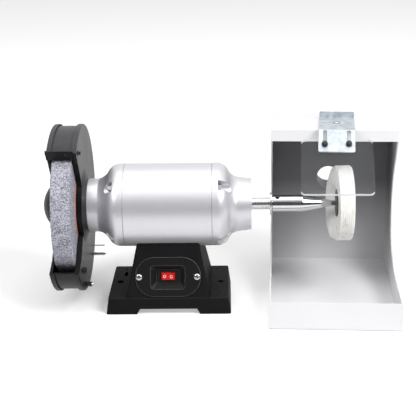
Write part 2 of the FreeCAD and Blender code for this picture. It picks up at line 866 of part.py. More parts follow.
def guard_knob():
    """The round nut on the lower cover bolt."""
    y, drop = cover_bolt_places[0]
    z = shaft_height + drop
    end = guard_right_x + cover_bolt_ends[0]
    knob = rod(end - cover_knob_length, end, cover_knob_radius, y, z)
    collar = rod(guard_right_x, end - cover_knob_length, cover_knob_neck, y, z)
    bore = rod(guard_right_x - cut_over, end + cut_over, cover_bolt_radius + seat_gap, y, z)
    return joined([knob, collar]).cut(bore)


def guard_plate_screw():
    """A screw with its washer low on the inner plate."""
    y, drop = plate_screw_place
    z = shaft_height + drop
    washer_end = guard_right_x + plate_screw_washer_thickness
    pieces = [rod(band_right_x - plate_screw_head_height, washer_end, plate_screw_radius, y, z),
              rod(guard_right_x, washer_end, plate_screw_washer, y, z),
              rod(washer_end, washer_end + plate_screw_head_height, plate_screw_head, y, z)]
    return joined(pieces)


def leaf_frame(shape):
    """Set a shape drawn as x, outwards, and backwards round the shaft into the leaf's place."""
    lean = math.radians(leaf_deg)
    outwards = V(0, -math.cos(lean), math.sin(lean))
    return set_down(shape, V(0, 0, shaft_height), V(1, 0, 0), outwards)


def ear_screw_place():
    """The (y, z) place of the screw through the spark guard's ear."""
    angle = math.radians(leaf_deg) + math.atan(ear_screw_back / ear_screw_radius)
    radius = math.hypot(ear_screw_back, ear_screw_radius)
    return (-radius * math.cos(angle), shaft_height + radius * math.sin(angle))


def ear_block(x_from, x_to, gap):
    """An ear of the spark guard between two planes, grown by a gap all round."""
    block = slab(x_from, x_to, ear_low_radius - gap, ear_high_radius + gap, -ear_length - gap, guard_sheet)
    return leaf_frame(block)


def spark_guard():
    """A leaf across the top of the opening with an ear bent back inside each side plate."""
    corners = [(leaf_left_x, leaf_low_radius), (band_right_x, leaf_low_radius),
               (band_right_x - leaf_slant, leaf_high_radius), (leaf_left_x, leaf_high_radius)]
    leaf = Part.Face(outline(corners, lambda x, out: V(x, out, 0))).extrude(V(0, 0, guard_sheet))
    width = band_right_x - leaf_left_x
    for share in leaf_hole_shares:
        hole = upright(leaf_left_x + width * share, leaf_high_radius - leaf_hole_from_top, leaf_hole_radius,
                       -cut_over, guard_sheet + cut_over)
        leaf = leaf.cut(hole)
    ears = [ear_block(band_right_x - guard_sheet, band_right_x, 0),
            ear_block(band_left_x, band_left_x + guard_sheet, 0)]
    y, z = ear_screw_place()
    hole = rod(guard_left_x, guard_right_x, plate_screw_radius + seat_gap, y, z)
    return joined([leaf_frame(leaf)] + ears).cut(hole)


def spark_guard_screws():
    """A screw, washer and nut through each ear and its side plate."""
    y, z = ear_screw_place()
    screws = []
    for way, face_x in ((1, guard_right_x), (-1, guard_left_x)):
        seat = face_x - way * 2 * guard_sheet
        washer_end = face_x + way * plate_screw_washer_thickness
        head_end = washer_end + way * plate_screw_head_height
        nut_end = seat - way * plate_screw_washer_thickness
        pieces = [rod(*sorted((seat, washer_end)), plate_screw_radius, y, z),
                  rod(*sorted((face_x, washer_end)), plate_screw_head, y, z),
                  rod(*sorted((washer_end, head_end)), plate_screw_head * cross_share, y, z),
                  rod(*sorted((nut_end, seat)), plate_screw_head, y, z)]
        screws.append(joined(pieces))
    return Part.makeCompound(screws)


def mandrel_washer():
    washer = rod(washer_x, mandrel_x, washer_radius)
    return washer.cut(rod(washer_x - cut_over, mandrel_x + cut_over, shaft_radius + seat_gap))


def set_screw_bar(radius, low, high):
    """A bar that points outwards through the mandrel at the set screw."""
    y, z = polar(low, set_screw_deg)
    lean = math.radians(set_screw_deg)
    return Part.makeCylinder(radius, high - low, V(set_screw_x, y, z),
                             V(0, -math.cos(lean), math.sin(lean)))


def mandrel():
    bore = shaft_radius + seat_gap
    bore_end = shaft_right_end + mandrel_end_gap
    steps = [(mandrel_x, bore), (mandrel_x, mandrel_radius - mandrel_edge),
             (mandrel_x + mandrel_edge, mandrel_radius), (mandrel_cone_x, mandrel_radius),
             (mandrel_tip_x, mandrel_tip_radius), (mandrel_tip_x, 0), (bore_end, 0), (bore_end, bore)]
    thread = set_screw_bar(set_screw_radius + seat_gap, shaft_radius, mandrel_radius + cut_over)
    return turned(steps).cut(thread)


def mandrel_set_screw():
    top = mandrel_radius - set_screw_sunk
    screw = set_screw_bar(set_screw_radius, shaft_radius, top)
    return screw.cut(set_screw_bar(set_screw_socket, top - set_screw_socket_depth, top + cut_over))


def taper_radius(x):
    """The mandrel's radius on its cone."""
    return mandrel_radius - (x - mandrel_cone_x) * mandrel_slope


def buff_hub():
    """Two discs on a sleeve that clamp the cloth; the mandrel's cone runs into the sleeve."""
    inner_left, inner_right = hub_left_x + hub_disc, hub_right_x - hub_disc
    steps = [(hub_left_x, taper_radius(hub_left_x) + seat_gap), (hub_left_x, hub_radius),
             (inner_left, hub_radius), (inner_left, hub_core_radius), (inner_right, hub_core_radius),
             (inner_right, hub_radius), (hub_right_x, hub_radius),
             (hub_right_x, mandrel_tip_radius + seat_gap), (mandrel_tip_x, mandrel_tip_radius + seat_gap)]
    return turned(steps)


def buff():
    """The cotton disc: clamped at the hub, bulged to the left near the rim and rounded on the right."""
    inner_left, inner_right = hub_left_x + hub_disc, hub_right_x - hub_disc
    bulge_x = buff_left_x - buff_bulge
    fold_x = buff_left_x - buff_bulge * buff_fold_share
    corner = buff_rim_round * (1 - math.cos(math.radians(45)))
    bore = hub_core_radius + seat_gap
    steps = [(inner_left, bore), (inner_left, hub_radius),
             ((fold_x, buff_fold_radius), (bulge_x, buff_bulge_radius)),
             ((fold_x, buff_bulge_shoulder), (buff_left_x, buff_radius)),
             (buff_right_x - buff_rim_round, buff_radius),
             ((buff_right_x - corner, buff_radius - corner), (buff_right_x, buff_radius - buff_rim_round)),
             (buff_right_x, buff_bulge_radius), (inner_right, hub_radius), (inner_right, bore)]
    return turned(steps)


def block_wire(z, wall):
    """The pedestal block's outline at a height, drawn in by a wall."""
    half_x = block_half_x - block_side_slope * (z - foot_height) - wall
    half_y = foot_half_y - block_front_slope * (z - foot_height) - wall
    return (half_x, half_y, block_round, z)


def pedestal_casting():
    flared = foot_half_x + foot_flare
    foot = tapered_block((flared, foot_half_y, foot_round, 0),
                         (foot_half_x, foot_half_y, foot_round, foot_height))
    body = joined([foot, tapered_block(block_wire(foot_height, 0), block_wire(block_loft_top, 0))])
    low = (block_half_x - pedestal_wall, foot_half_y - pedestal_wall, block_round, 0)
    corner = block_wire(foot_height, pedestal_wall)
    high = block_wire(block_loft_top, pedestal_wall)
    hollow = tapered_block(low, corner).fuse(tapered_block(corner, high))
    hollow = hollow.cut(rod(-block_half_x, block_half_x, motor_radius + saddle_thickness))
    for x in (-1, 1):
        for y in (-1, 1):
            hollow = hollow.cut(corner_post(x, y))
    body = body.cut(hollow)
    body = body.cut(rod(-block_half_x, block_half_x, motor_radius + slide_gap))
    arch = [(-arch_half_x, 0), (arch_half_x, 0), (arch_half_x - arch_slant, arch_height),
            (arch_slant - arch_half_x, arch_height)]
    arch_face = Part.Face(outline(arch, lambda x, z: V(x, -foot_half_y - cut_over, z)))
    body = body.cut(arch_face.extrude(V(0, 2 * (foot_half_y + cut_over), 0)))
    for cutter in foot_cutters():
        body = body.cut(cutter)
    window = rounded_block(pocket_half_x + pocket_wall + run_gap, pocket_half_y + pocket_wall + run_gap,
                           pocket_round, -pedestal_wall * 2, cut_over)
    window.translate(V(*pocket_shift, 0))
    body = body.cut(on_front(window))
    for x in (-plate_fixing_x, plate_fixing_x):
        body = body.cut(on_front(upright(x, 0, plate_fixing_radius + seat_gap, -pedestal_wall * 2,
                                         cut_over)))
    return body.cut(on_rear(upright(0, 0, gland_thread_radius + seat_gap, -pedestal_wall * 2, cut_over)))


def pedestal_part(z_from, z_to):
    """What lies between two heights of the casting."""
    reach_x = foot_half_x + foot_flare + cut_over
    reach_y = foot_half_y + cut_over
    return pedestal_casting().common(slab(-reach_x, reach_x, -reach_y, reach_y, z_from, z_to))


def pedestal_foot():
    return pedestal_part(0, foot_height)


def pedestal():
    return pedestal_part(foot_height, block_loft_top)


def foot_cutters():
    """Anchor holes, small holes, the side slot, pad pockets and saddle bolt holes."""
    top = foot_height + cut_over
    cutters = []
    for side in (-1, 1):
        cutters.append(upright(side * anchor_hole_x, 0, anchor_hole_radius, 0, top))
        cutters.append(upright(side * saddle_bolt_x, 0, saddle_bolt_radius + tie_hole_gap, foot_height,
                               shaft_height))
        for back in (-1, 1):
            cutters.append(upright(side * small_hole_x, back * small_hole_y, small_hole_radius, 0, top))
            cutters.append(upright(side * pad_x, back * pad_y, pad_radius + seat_gap, 0, pad_thickness))
    half = slot_hole_width / 2
    slot = rounded_block(half, slot_hole_length / 2, half - touch, 0, top)
    slot.translate(V(slot_hole_x, slot_hole_y, 0))
    cutters.append(slot)
    return cutters


def corner_post(side, back):
    """A post in a corner of the foot that takes a bottom plate screw."""
    outer_x, outer_y = block_half_x, foot_half_y
    inner_x, inner_y = outer_x - pedestal_wall - post_size, outer_y - pedestal_wall - post_size
    xs = sorted((side * inner_x, side * outer_x))
    ys = sorted((back * inner_y, back * outer_y))
    post = slab(*xs, *ys, bottom_plate_top, foot_height)
    x, y = bottom_screw_place(side, back)
    return post.cut(upright(x, y, bottom_screw_radius + seat_gap, 0, bottom_plate_top + bottom_screw_length))


def bottom_screw_place(side, back):
    reach = pedestal_wall + post_size / 2
    return side * (block_half_x - reach), back * (foot_half_y - reach)


def corners():
    return [(side, back) for side in (-1, 1) for back in (-1, 1)]


def bottom_plate():
    inset = pedestal_wall + bottom_plate_gap
    plate = rounded_block(block_half_x - inset, foot_half_y - inset, block_round, bottom_plate_z,
                          bottom_plate_top)
    for side, back in corners():
        x, y = bottom_screw_place(side, back)
        plate = plate.cut(upright(x, y, bottom_screw_radius + tie_hole_gap, 0, bottom_plate_top + cut_over))
    return plate


def bottom_plate_screws():
    screws = []
    for side, back in corners():
        x, y = bottom_screw_place(side, back)
        screw = pan_screw(bottom_screw_head, bottom_screw_head_height, bottom_screw_radius,
                          bottom_screw_length)
        screws.append(set_down(screw, V(x, y, bottom_plate_z), V(1, 0, 0), V(0, -1, 0)))
    return Part.makeCompound(screws)


def rubber_pads():
    return Part.makeCompound([upright(side * pad_x, back * pad_y, pad_radius, 0, pad_thickness)
                              for side, back in corners()])


def saddle_bolts():
    """Bolts from inside the pedestal up into the motor shell."""
    seat = shaft_height - motor_radius - saddle_thickness
    bolts = []
    for x in (-saddle_bolt_x, saddle_bolt_x):
        head = hexagon(saddle_bolt_flats, saddle_bolt_head)
        head.translate(V(x, 0, seat - saddle_bolt_head))
        bolts.append(joined([upright(x, 0, saddle_bolt_radius, seat, shaft_height - shell_inner), head]))
    return Part.makeCompound(bolts)


def capacitor():
    z = bottom_plate_top + clamp_thickness + seat_gap + capacitor_radius
    can = rod(-capacitor_length / 2, capacitor_length / 2, capacitor_radius, capacitor_y, z)
    rims = [edge for edge in can.Edges if abs(edge.Length - 2 * math.pi * capacitor_radius) < touch]
    return can.makeFillet(capacitor_round, rims)


def capacitor_clamp():
    """A band round the capacitor that stands on the bottom plate."""
    z = bottom_plate_top + clamp_thickness + seat_gap + capacitor_radius
    half = clamp_width / 2
    outer = capacitor_radius + clamp_thickness + seat_gap
    strap = rod(-half, half, outer, capacitor_y, z)
    feet = slab(-half, half, capacitor_y - outer - clamp_foot, capacitor_y + outer, bottom_plate_top,
                bottom_plate_top + clamp_thickness)
    upright_leg = slab(-half, half, capacitor_y - outer, capacitor_y + outer, bottom_plate_top, z)
    bore = rod(-half - cut_over, half + cut_over, capacitor_radius + seat_gap, capacitor_y, z)
    hollow = slab(-half - cut_over, half + cut_over, capacitor_y - outer + clamp_thickness,
                  capacitor_y + outer - clamp_thickness, bottom_plate_top + clamp_thickness, z)
    return joined([strap, upright_leg]).cut(hollow).fuse(feet).cut(bore).removeSplitter()


def terminal_block():
    half = terminal_length / 2
    y_from = terminal_y - terminal_width / 2
    block = slab(-half, half, y_from, y_from + terminal_width, bottom_plate_top,
                 bottom_plate_top + terminal_height)
    pitch = terminal_length / terminal_count
    for index in range(terminal_count):
        x = -half + pitch * (index + 0.5)
        bore = Part.makeCylinder(terminal_bore, terminal_width + 2 * cut_over,
                                 V(x, y_from - cut_over, bottom_plate_top + terminal_height / 3), V(0, 1, 0))
        well = upright(x, terminal_y, terminal_bore, bottom_plate_top + terminal_height / 2,
                       bottom_plate_top + terminal_height + cut_over)
        block = block.cut(bore).cut(well)
    return block


def rear_wall_y(z):
    return foot_half_y - block_front_slope * (z - foot_height)


def on_rear(shape):
    """Set a shape drawn on a plane onto the pedestal's leaning back at the gland."""
    up = V(0, -math.sin(front_lean), math.cos(front_lean))
    return set_down(shape, V(0, rear_wall_y(gland_height), gland_height), V(-1, 0, 0), up)


def cord_gland():
    """The bushing where the mains lead enters."""
    inner_end = -gland_wall - gland_nut_thickness - gland_thread_end
    steps = [(gland_bore, inner_end), (gland_thread_radius, inner_end), (gland_thread_radius, 0),
             (gland_radius, 0), (gland_radius, gland_collar), (gland_tip_radius, gland_length),
             (gland_bore, gland_length)]
    face = Part.Face(outline(steps, lambda r, z: V(r, 0, z)))
    return on_rear(face.revolve(V(0, 0, 0), V(0, 0, 1), 360))


def gland_nut():
    nut = hexagon(gland_nut_flats, gland_nut_thickness)
    nut = nut.cut(upright(0, 0, gland_thread_radius + seat_gap, -cut_over, gland_nut_thickness + cut_over))
    nut.translate(V(0, 0, -gland_wall - gland_nut_thickness))
    return on_rear(nut)


def on_front(shape):
    """Set a shape drawn on a plane onto the pedestal's leaning front at the switch plate's middle."""
    up = V(0, math.sin(front_lean), math.cos(front_lean))
    middle = V(0, -foot_half_y, foot_height) + up * switch_up
    return set_down(shape, middle, V(1, 0, 0), up)


def on_pocket(shape):
    """Set a shape drawn about the switch's middle into the pocket."""
    moved = shape.copy()
    moved.translate(V(0, switch_raise, 0))
    return on_front(moved)


def pocket_block(wall, z_top):
    """The pocket as a block that narrows to its floor, grown by a wall."""
    low = rounded_wire(pocket_floor_half_x + wall, pocket_floor_half_y + wall, pocket_floor_round + wall,
                       pocket_floor_z - wall)
    low.translate(V(0, switch_raise, 0))
    high = rounded_wire(pocket_half_x + wall, pocket_half_y + wall, pocket_round, z_top)
    high.translate(V(*pocket_shift, 0))
    return Part.makeLoft([low, high], True, True)


def switch_plate():
    """The oval cover plate with a sunk pocket for the switch."""
    plate = rounded_block(switch_plate_half_x, switch_plate_half_y, switch_plate_round, 0,
                          switch_plate_thickness)
    plate = joined([plate, pocket_block(pocket_wall, 0)]).cut(pocket_block(0, switch_plate_thickness))
    window = rounded_block(housing_half_x + seat_gap, housing_half_y + seat_gap, seat_gap,
                           pocket_floor_z - pocket_depth, 0)
    window.translate(V(0, switch_raise, 0))
    plate = plate.cut(window)
    for x in (-plate_fixing_x, plate_fixing_x):
        plate = plate.cut(upright(x, 0, plate_fixing_radius + seat_gap, -cut_over,
                                  switch_plate_thickness + cut_over))
    return on_front(plate)


def switch_plate_screws():
    screws = []
    for x in (-plate_fixing_x, plate_fixing_x):
        screw = pan_screw(plate_fixing_head, plate_fixing_head_height, plate_fixing_radius,
                          plate_fixing_length, True)
        screw.rotate(V(0, 0, 0), V(0, 0, 1), x)
        screw.translate(V(x, 0, switch_plate_thickness))
        screws.append(on_front(screw))
    return Part.makeCompound(screws)


def rocker_profile():
    """The rocker seen along its pins: a round flank about the pivot and a shallow V on top."""
    rise = bezel_top_z + rocker_rise - rocker_pivot_z
    side = math.sqrt(rocker_half_x ** 2 - rise ** 2)
    middle_z = rocker_pivot_z + rise - rocker_dip
    return [(side, rocker_pivot_z + rise), (0, middle_z), (-side, rocker_pivot_z + rise),
            ((-rocker_half_x, rocker_pivot_z), (-side, rocker_pivot_z - rise)),
            (side, rocker_pivot_z - rise),
            ((rocker_half_x, rocker_pivot_z), (side, rocker_pivot_z + rise))]


def switch_rocker():
    face = Part.Face(outline(rocker_profile(), lambda x, z: V(x, -rocker_half_y, z)))
    rocker = face.extrude(V(0, 2 * rocker_half_y, 0))
    reach = housing_half_y - seat_gap
    pin = Part.makeCylinder(rocker_pin_radius, 2 * reach, V(0, -reach, rocker_pivot_z), V(0, 1, 0))
    rocker = joined([rocker, pin])
    rocker.rotate(V(0, 0, rocker_pivot_z), V(0, 1, 0), rocker_rest_deg)
    return on_pocket(rocker)


def switch_housing():
    bezel = rounded_block(bezel_half_x, bezel_half_y, bezel_round, pocket_floor_z, bezel_top_z)
    back = pocket_floor_z - housing_depth
    body = rounded_block(housing_half_x, housing_half_y, seat_gap, back, pocket_floor_z)
    well = rounded_block(rocker_half_x + run_gap, rocker_half_y + run_gap, seat_gap, back + housing_floor,
                         bezel_top_z + cut_over)
    pin = Part.makeCylinder(rocker_pin_radius + rocker_pin_gap, 2 * housing_half_y + 2 * cut_over,
                            V(0, -housing_half_y - cut_over, rocker_pivot_z), V(0, 1, 0))
    pin = pin.common(slab(-housing_half_x, housing_half_x, -housing_half_y, housing_half_y, back,
                          bezel_top_z))
    return on_pocket(joined([bezel, body]).cut(well).cut(pin))


def on_bench(shape):
    """Set a shape drawn in the hood's own frame down on the bench, turned as it stands."""
    turn = FreeCAD.Rotation(V(0, 0, 1), hood_turn_deg)
    moved = shape.copy()
    moved.Placement = FreeCAD.Placement(V(hood_corner_x, hood_corner_y, 0), turn).multiply(moved.Placement)
    return moved


def hood_wrap_steps():
    sheet = hood_sheet
    lip_bottom = hood_height - hood_lip_height
    inner_top = hood_height - sheet
    return [(hood_lip_y, lip_bottom), (hood_lip_y, hood_height), (hood_depth, hood_back_height),
            (hood_depth, 0), (0, 0), (0, hood_panel_height), (sheet, hood_panel_height), (sheet, sheet),
            (hood_depth - sheet, sheet), (hood_depth - sheet, hood_back_height - sheet),
            (hood_lip_y + sheet, inner_top), (hood_lip_y + sheet, lip_bottom)]


def hood_wrap():
    """One bent sheet: front panel, floor, back, top and the short lip in front."""
    wrap = cut_across(hood_wrap_steps(), 0, hood_width)
    bends = {(hood_lip_y, hood_height), (hood_depth, hood_back_height), (hood_depth, 0), (0, 0)}
    chosen = []
    for edge in wrap.Edges:
        ends = [vertex.Point for vertex in edge.Vertexes]
        for y, z in bends:
            if all(abs(end.y - y) < touch and abs(end.z - z) < touch for end in ends):
                chosen.append(edge)
    wrap = wrap.makeFillet(hood_bend, chosen)
    port_start = V(hood_middle - port_left_of_middle, hood_depth - hood_sheet - cut_over, port_height)
    port = Part.makeCylinder(port_radius - port_wall, hood_sheet + 2 * cut_over, port_start, V(0, 1, 0))
    screw = upright(0, bracket_screw_back, bracket_screw_radius + seat_gap, -hood_sheet * 2, cut_over)
    return on_bench(wrap.cut(port).cut(on_top(screw)))


def hood_side(x):
    """A side sheet with its long hollow front edge, held inside the wrap."""
    sheet = hood_sheet

    def at(share):
        return (share[0] * hood_depth, share[1] * hood_height)

    steps = [(sheet, sheet), (sheet, hood_side_height),
             (hood_edge_flat_share * hood_depth, hood_side_height)]
    steps += [(at(via), at(end)) for via, end in hood_edge_shares]
    steps += [(hood_lip_y + sheet, hood_height - hood_lip_height), (hood_lip_y + sheet, hood_height - sheet),
              (hood_depth - sheet, hood_back_height - sheet), (hood_depth - sheet, sheet)]
    return on_bench(cut_across(steps, x, x + sheet))


def suction_port():
    """The tube behind the hood that a vacuum hose is pushed over."""
    x = hood_middle - port_left_of_middle
    bore = port_radius - port_wall
    steps = [(bore, 0), (port_flange_radius, 0), (port_flange_radius, port_flange_thickness),
             (port_radius, port_flange_thickness), (port_radius, port_length), (bore, port_length)]
    tube = Part.Face(outline(steps, lambda r, y: V(r, y, 0))).revolve(V(0, 0, 0), V(0, 1, 0), 360)
    tube.translate(V(x, hood_depth, port_height))
    return on_bench(tube)


def on_top(shape):
    """Set a shape drawn behind the bracket's fold onto the hood's sloping top."""
    moved = shape.copy()
    turn = FreeCAD.Rotation(V(1, 0, 0), -math.degrees(top_lean))
    place = V(hood_middle + bracket_off_middle, hood_lip_y, hood_height)
    moved.Placement = FreeCAD.Placement(place, turn).multiply(moved.Placement)
    return moved


def on_turned_top(shape):
    """Swing a shape with the bracket about its screw and set it down on the bench."""
    back = bracket_screw_back
    pivot = V(hood_middle + bracket_off_middle, hood_lip_y + back * math.cos(top_lean),
              hood_height - back * math.sin(top_lean))
    moved = shape.copy()
    moved.rotate(pivot, V(0, math.sin(top_lean), math.cos(top_lean)), bracket_turn_deg)
    return on_bench(moved)


def fold_axis():
    """A point on the line about which the bracket's sheet is folded."""
    ahead = bracket_fold_ahead
    return V(hood_middle + bracket_off_middle, hood_lip_y - ahead * math.cos(top_lean),
             hood_height + ahead * math.sin(top_lean))


def on_flange(shape):
    """Set a shape drawn on the flange's top, with y running down its slope, into place."""
    slope = math.radians(bracket_flange_deg)
    down = V(0, -math.cos(slope), -math.sin(slope))
    normal = V(0, -math.sin(slope), math.cos(slope))
    return set_down(shape, fold_axis() + normal * bracket_sheet, V(-1, 0, 0), down)


def shield_bracket():
    """A bent plate: leg on the hood's top, upturned rear lip, slotted flange sloping down in front."""
    half, sheet = bracket_half_x, bracket_sheet
    leg = slab(-half, half, -bracket_fold_ahead, bracket_top_length, 0, sheet)
    lip = slab(-half, half, bracket_top_length - sheet, bracket_top_length, 0, bracket_rear_lip)
    hole = upright(0, bracket_screw_back, bracket_screw_radius + seat_gap, -cut_over, sheet + cut_over)
    leg = on_top(joined([leg, lip]).cut(hole))
    flange = slab(-half, half, 0, bracket_flange_length, -sheet, 0)
    corners_low = [edge for edge in flange.Edges
                   if all(abs(vertex.Point.y - bracket_flange_length) < touch for vertex in edge.Vertexes)
                   and abs(edge.Length - sheet) < touch]
    flange = flange.makeFillet(bracket_round, corners_low)
    for x in (-slot_half_x, slot_half_x):
        middle = (flange_slot_top + flange_slot_bottom) / 2
        slot = rounded_block(flange_slot_width / 2, (flange_slot_bottom - flange_slot_top) / 2,
                             flange_slot_width / 2 - touch, -sheet - cut_over, cut_over)
        slot.translate(V(x, middle, 0))
        flange = flange.cut(slot)
    fold = Part.makeCylinder(sheet, 2 * half, fold_axis() - V(half, 0, 0), V(1, 0, 0))
    fold = fold.cut(on_top(slab(-half, half, -bracket_fold_ahead - sheet * 2, sheet * 2, -sheet * 2, 0)))
    return on_turned_top(joined([leg, fold, on_flange(flange)]))


def bracket_screw():
    screw = pan_screw(bracket_screw_head, bracket_screw_head_height, bracket_screw_radius,
                      bracket_sheet + hood_sheet + bracket_nut_height, True)
    screw.translate(V(0, bracket_screw_back, bracket_sheet))
    return on_turned_top(on_top(screw))


def bracket_nut():
    nut = hexagon(bracket_nut_flats, bracket_nut_height)
    nut = nut.cut(upright(0, 0, bracket_screw_radius + seat_gap, -cut_over, bracket_nut_height + cut_over))
    nut.translate(V(0, bracket_screw_back, -hood_sheet - bracket_nut_height))
    return on_turned_top(on_top(nut))


def on_shield(shape):
    """Swing a shape with the shield about the middle of its two screws and set it under the flange."""
    moved = shape.copy()
    moved.rotate(V(0, shield_screw_along, 0), V(0, 0, 1), shield_turn_deg)
    return on_turned_top(on_flange(moved))


def shield():
    """The clear plate that hangs under the bracket's flange."""
    top = -bracket_sheet - slide_gap
    sheet = rounded_block(shield_half_x, shield_length / 2, shield_round, top - shield_sheet, top)
    sheet.translate(V(0, shield_start + shield_length / 2, 0))
    for x in (-slot_half_x, slot_half_x):
        hole = upright(x, shield_screw_along, shield_screw_radius + seat_gap,
                       top - shield_sheet - cut_over, 0)
        sheet = sheet.cut(hole)
    return on_shield(sheet)


def shield_screws():
    screws = []
    below = bracket_sheet + 2 * slide_gap + shield_sheet + shield_nut_height
    for x in (-slot_half_x, slot_half_x):
        screw = pan_screw(shield_screw_head, shield_screw_head_height, shield_screw_radius, below)
        screw.translate(V(x, shield_screw_along, slide_gap))
        screws.append(on_shield(screw))
    return Part.makeCompound(screws)


def shield_nuts():
    seat = -bracket_sheet - slide_gap - shield_sheet
    nuts = []
    for x in (-slot_half_x, slot_half_x):
        nut = hexagon(shield_nut_flats, shield_nut_height)
        nut = nut.cut(upright(0, 0, shield_screw_radius + seat_gap, -cut_over, shield_nut_height + cut_over))
        nut.translate(V(x, shield_screw_along, seat - shield_nut_height))
        nuts.append(on_shield(nut))
    return Part.makeCompound(nuts)


pieces = {
    "pedestal_foot": pedestal_foot,
    "pedestal": pedestal,
    "bottom_plate": bottom_plate,
    "bottom_plate_screws": bottom_plate_screws,
    "rubber_pads": rubber_pads,
    "saddle_bolts": saddle_bolts,
    "capacitor": capacitor,
    "capacitor_clamp": capacitor_clamp,
    "terminal_block": terminal_block,
    "cord_gland": cord_gland,
    "gland_nut": gland_nut,
    "switch_plate": switch_plate,
    "switch_plate_screws": switch_plate_screws,
    "switch_housing": switch_housing,
    "switch_rocker": switch_rocker,
    "motor_shell": motor_shell,
    "end_bell_left": lambda: end_bell(bells["left"]),
    "end_bell_right": lambda: end_bell(bells["right"]),
    "tie_bolts": tie_bolts,
    "tie_nuts": tie_nuts,
    "stator_core": stator_core,
    "stator_windings": stator_windings,
    "bearing_outer_rings": bearing_outer_rings,
    "bearing_seals": bearing_seals,
    "bearing_inner_rings": bearing_inner_rings,
    "shaft": shaft,
    "rotor_core": rotor_core,
    "wheel_flange_inner": wheel_flange_inner,
    "wheel_flange_outer": wheel_flange_outer,
    "wheel_nut": wheel_nut,
    "grinding_wheel": grinding_wheel,
    "wheel_labels": wheel_labels,
    "guard_inner_plate": guard_inner_plate,
    "guard_band": guard_band,
    "guard_cover": guard_cover,
    "guard_mounting_screws": guard_mounting_screws,
    "guard_cover_bolts": guard_cover_bolts,
    "guard_knob": guard_knob,
    "guard_plate_screw": guard_plate_screw,
    "spark_guard": spark_guard,
    "spark_guard_screws": spark_guard_screws,
    "mandrel_washer": mandrel_washer,
    "mandrel": mandrel,
    "mandrel_set_screw": mandrel_set_screw,
    "buff_hub": buff_hub,
    "buff": buff,
    "hood_wrap": hood_wrap,
    "hood_side_left": lambda: hood_side(0),
    "hood_side_right": lambda: hood_side(hood_width - hood_sheet),
    "suction_port": suction_port,
    "shield_bracket": shield_bracket,
    "bracket_screw": bracket_screw,
    "bracket_nut": bracket_nut,
    "shield": shield,
    "shield_screws": shield_screws,
    "shield_nuts": shield_nuts,
}


def build():
    os.makedirs("parts", exist_ok=True)
    for name, make in pieces.items():
        shape = make()
        shape.exportStep(os.path.join("parts", name + ".step"))
        state = "valid" if shape.isValid() else "BROKEN"
        print(name, len(shape.Solids), "solids", round(shape.Volume), "mm3", state)


build()
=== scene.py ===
import json
import math

import bpy
from mathutils import Euler, Matrix, Vector, noise


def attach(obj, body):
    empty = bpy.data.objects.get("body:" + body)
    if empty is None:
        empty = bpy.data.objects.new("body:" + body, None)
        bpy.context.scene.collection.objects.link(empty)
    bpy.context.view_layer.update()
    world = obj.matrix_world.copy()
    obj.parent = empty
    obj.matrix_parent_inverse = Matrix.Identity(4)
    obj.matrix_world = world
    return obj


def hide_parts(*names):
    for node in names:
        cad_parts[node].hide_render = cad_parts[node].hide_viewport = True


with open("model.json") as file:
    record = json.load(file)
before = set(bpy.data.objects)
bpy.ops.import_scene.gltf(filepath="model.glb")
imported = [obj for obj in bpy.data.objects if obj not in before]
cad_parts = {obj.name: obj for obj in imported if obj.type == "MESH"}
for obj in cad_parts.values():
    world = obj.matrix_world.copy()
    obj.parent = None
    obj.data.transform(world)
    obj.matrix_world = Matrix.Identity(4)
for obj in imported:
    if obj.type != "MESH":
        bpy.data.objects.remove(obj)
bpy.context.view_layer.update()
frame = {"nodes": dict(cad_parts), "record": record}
print("frame loaded:", len(frame["nodes"]), "nodes")

scene = bpy.context.scene


# camera, set to the photograph's viewing angle

photoCamera = {
    "place": (0.0614998, -1.0553744, 0.4634823),
    "tiltDown": 0.3291,          # radians below level
    "turnLeft": 0.0181,
    "roll": -0.0143,
    "focalPixels": 1043.66,      # for a frame 416 pixels wide
    "framePixels": 416,
    "sensorWidth": 36.0,
    "nearest": 0.05,
    "farthest": 30.0,
}


def addCamera(values):
    data = bpy.data.cameras.new("photoCamera")
    data.sensor_width = values["sensorWidth"]
    data.lens = values["focalPixels"] / values["framePixels"] * values["sensorWidth"]
    data.clip_start = values["nearest"]
    data.clip_end = values["farthest"]
    camera = bpy.data.objects.new("photoCamera", data)
    aim = Euler((math.pi / 2 - values["tiltDown"], 0, values["turnLeft"])).to_matrix()
    aim = (aim @ Matrix.Rotation(values["roll"], 3, "Z")).to_4x4()
    camera.matrix_world = Matrix.Translation(values["place"]) @ aim
    scene.collection.objects.link(camera)
    scene.camera = camera


# shader maths as plain sums, and a material with its nodes

class Flow:
    # one output socket that takes part in sums
    def __init__(self, tree, socket):
        self.tree = tree
        self.socket = socket

    def maths(self, operation, *others):
        return self.worked(operation, (self,) + others)

    def worked(self, operation, terms):
        node = self.tree.nodes.new("ShaderNodeMath")
        node.operation = operation
        for entry, term in zip(node.inputs, terms):
            plug(self.tree, entry, term)
        return Flow(self.tree, node.outputs[0])

    def __add__(self, other):
        return self.maths("ADD", other)

    def __radd__(self, other):
        return self.worked("ADD", (other, self))

    def __sub__(self, other):
        return self.maths("SUBTRACT", other)

    def __rsub__(self, other):
        return self.worked("SUBTRACT", (other, self))

    def __mul__(self, other):
        return self.maths("MULTIPLY", other)

    def __rmul__(self, other):
        return self.worked("MULTIPLY", (other, self))

    def __pow__(self, other):
        return self.maths("POWER", other)

    def size(self):
        return self.maths("ABSOLUTE")

    def clamped(self):
        return self.maths("MAXIMUM", 0.0).maths("MINIMUM", 1.0)


def plug(tree, entry, value):
    if isinstance(value, Flow):
        tree.links.new(value.socket, entry)
    elif entry.type == "RGBA" and len(value) == 3:
        entry.default_value = (*value, 1)
    else:
        entry.default_value = value


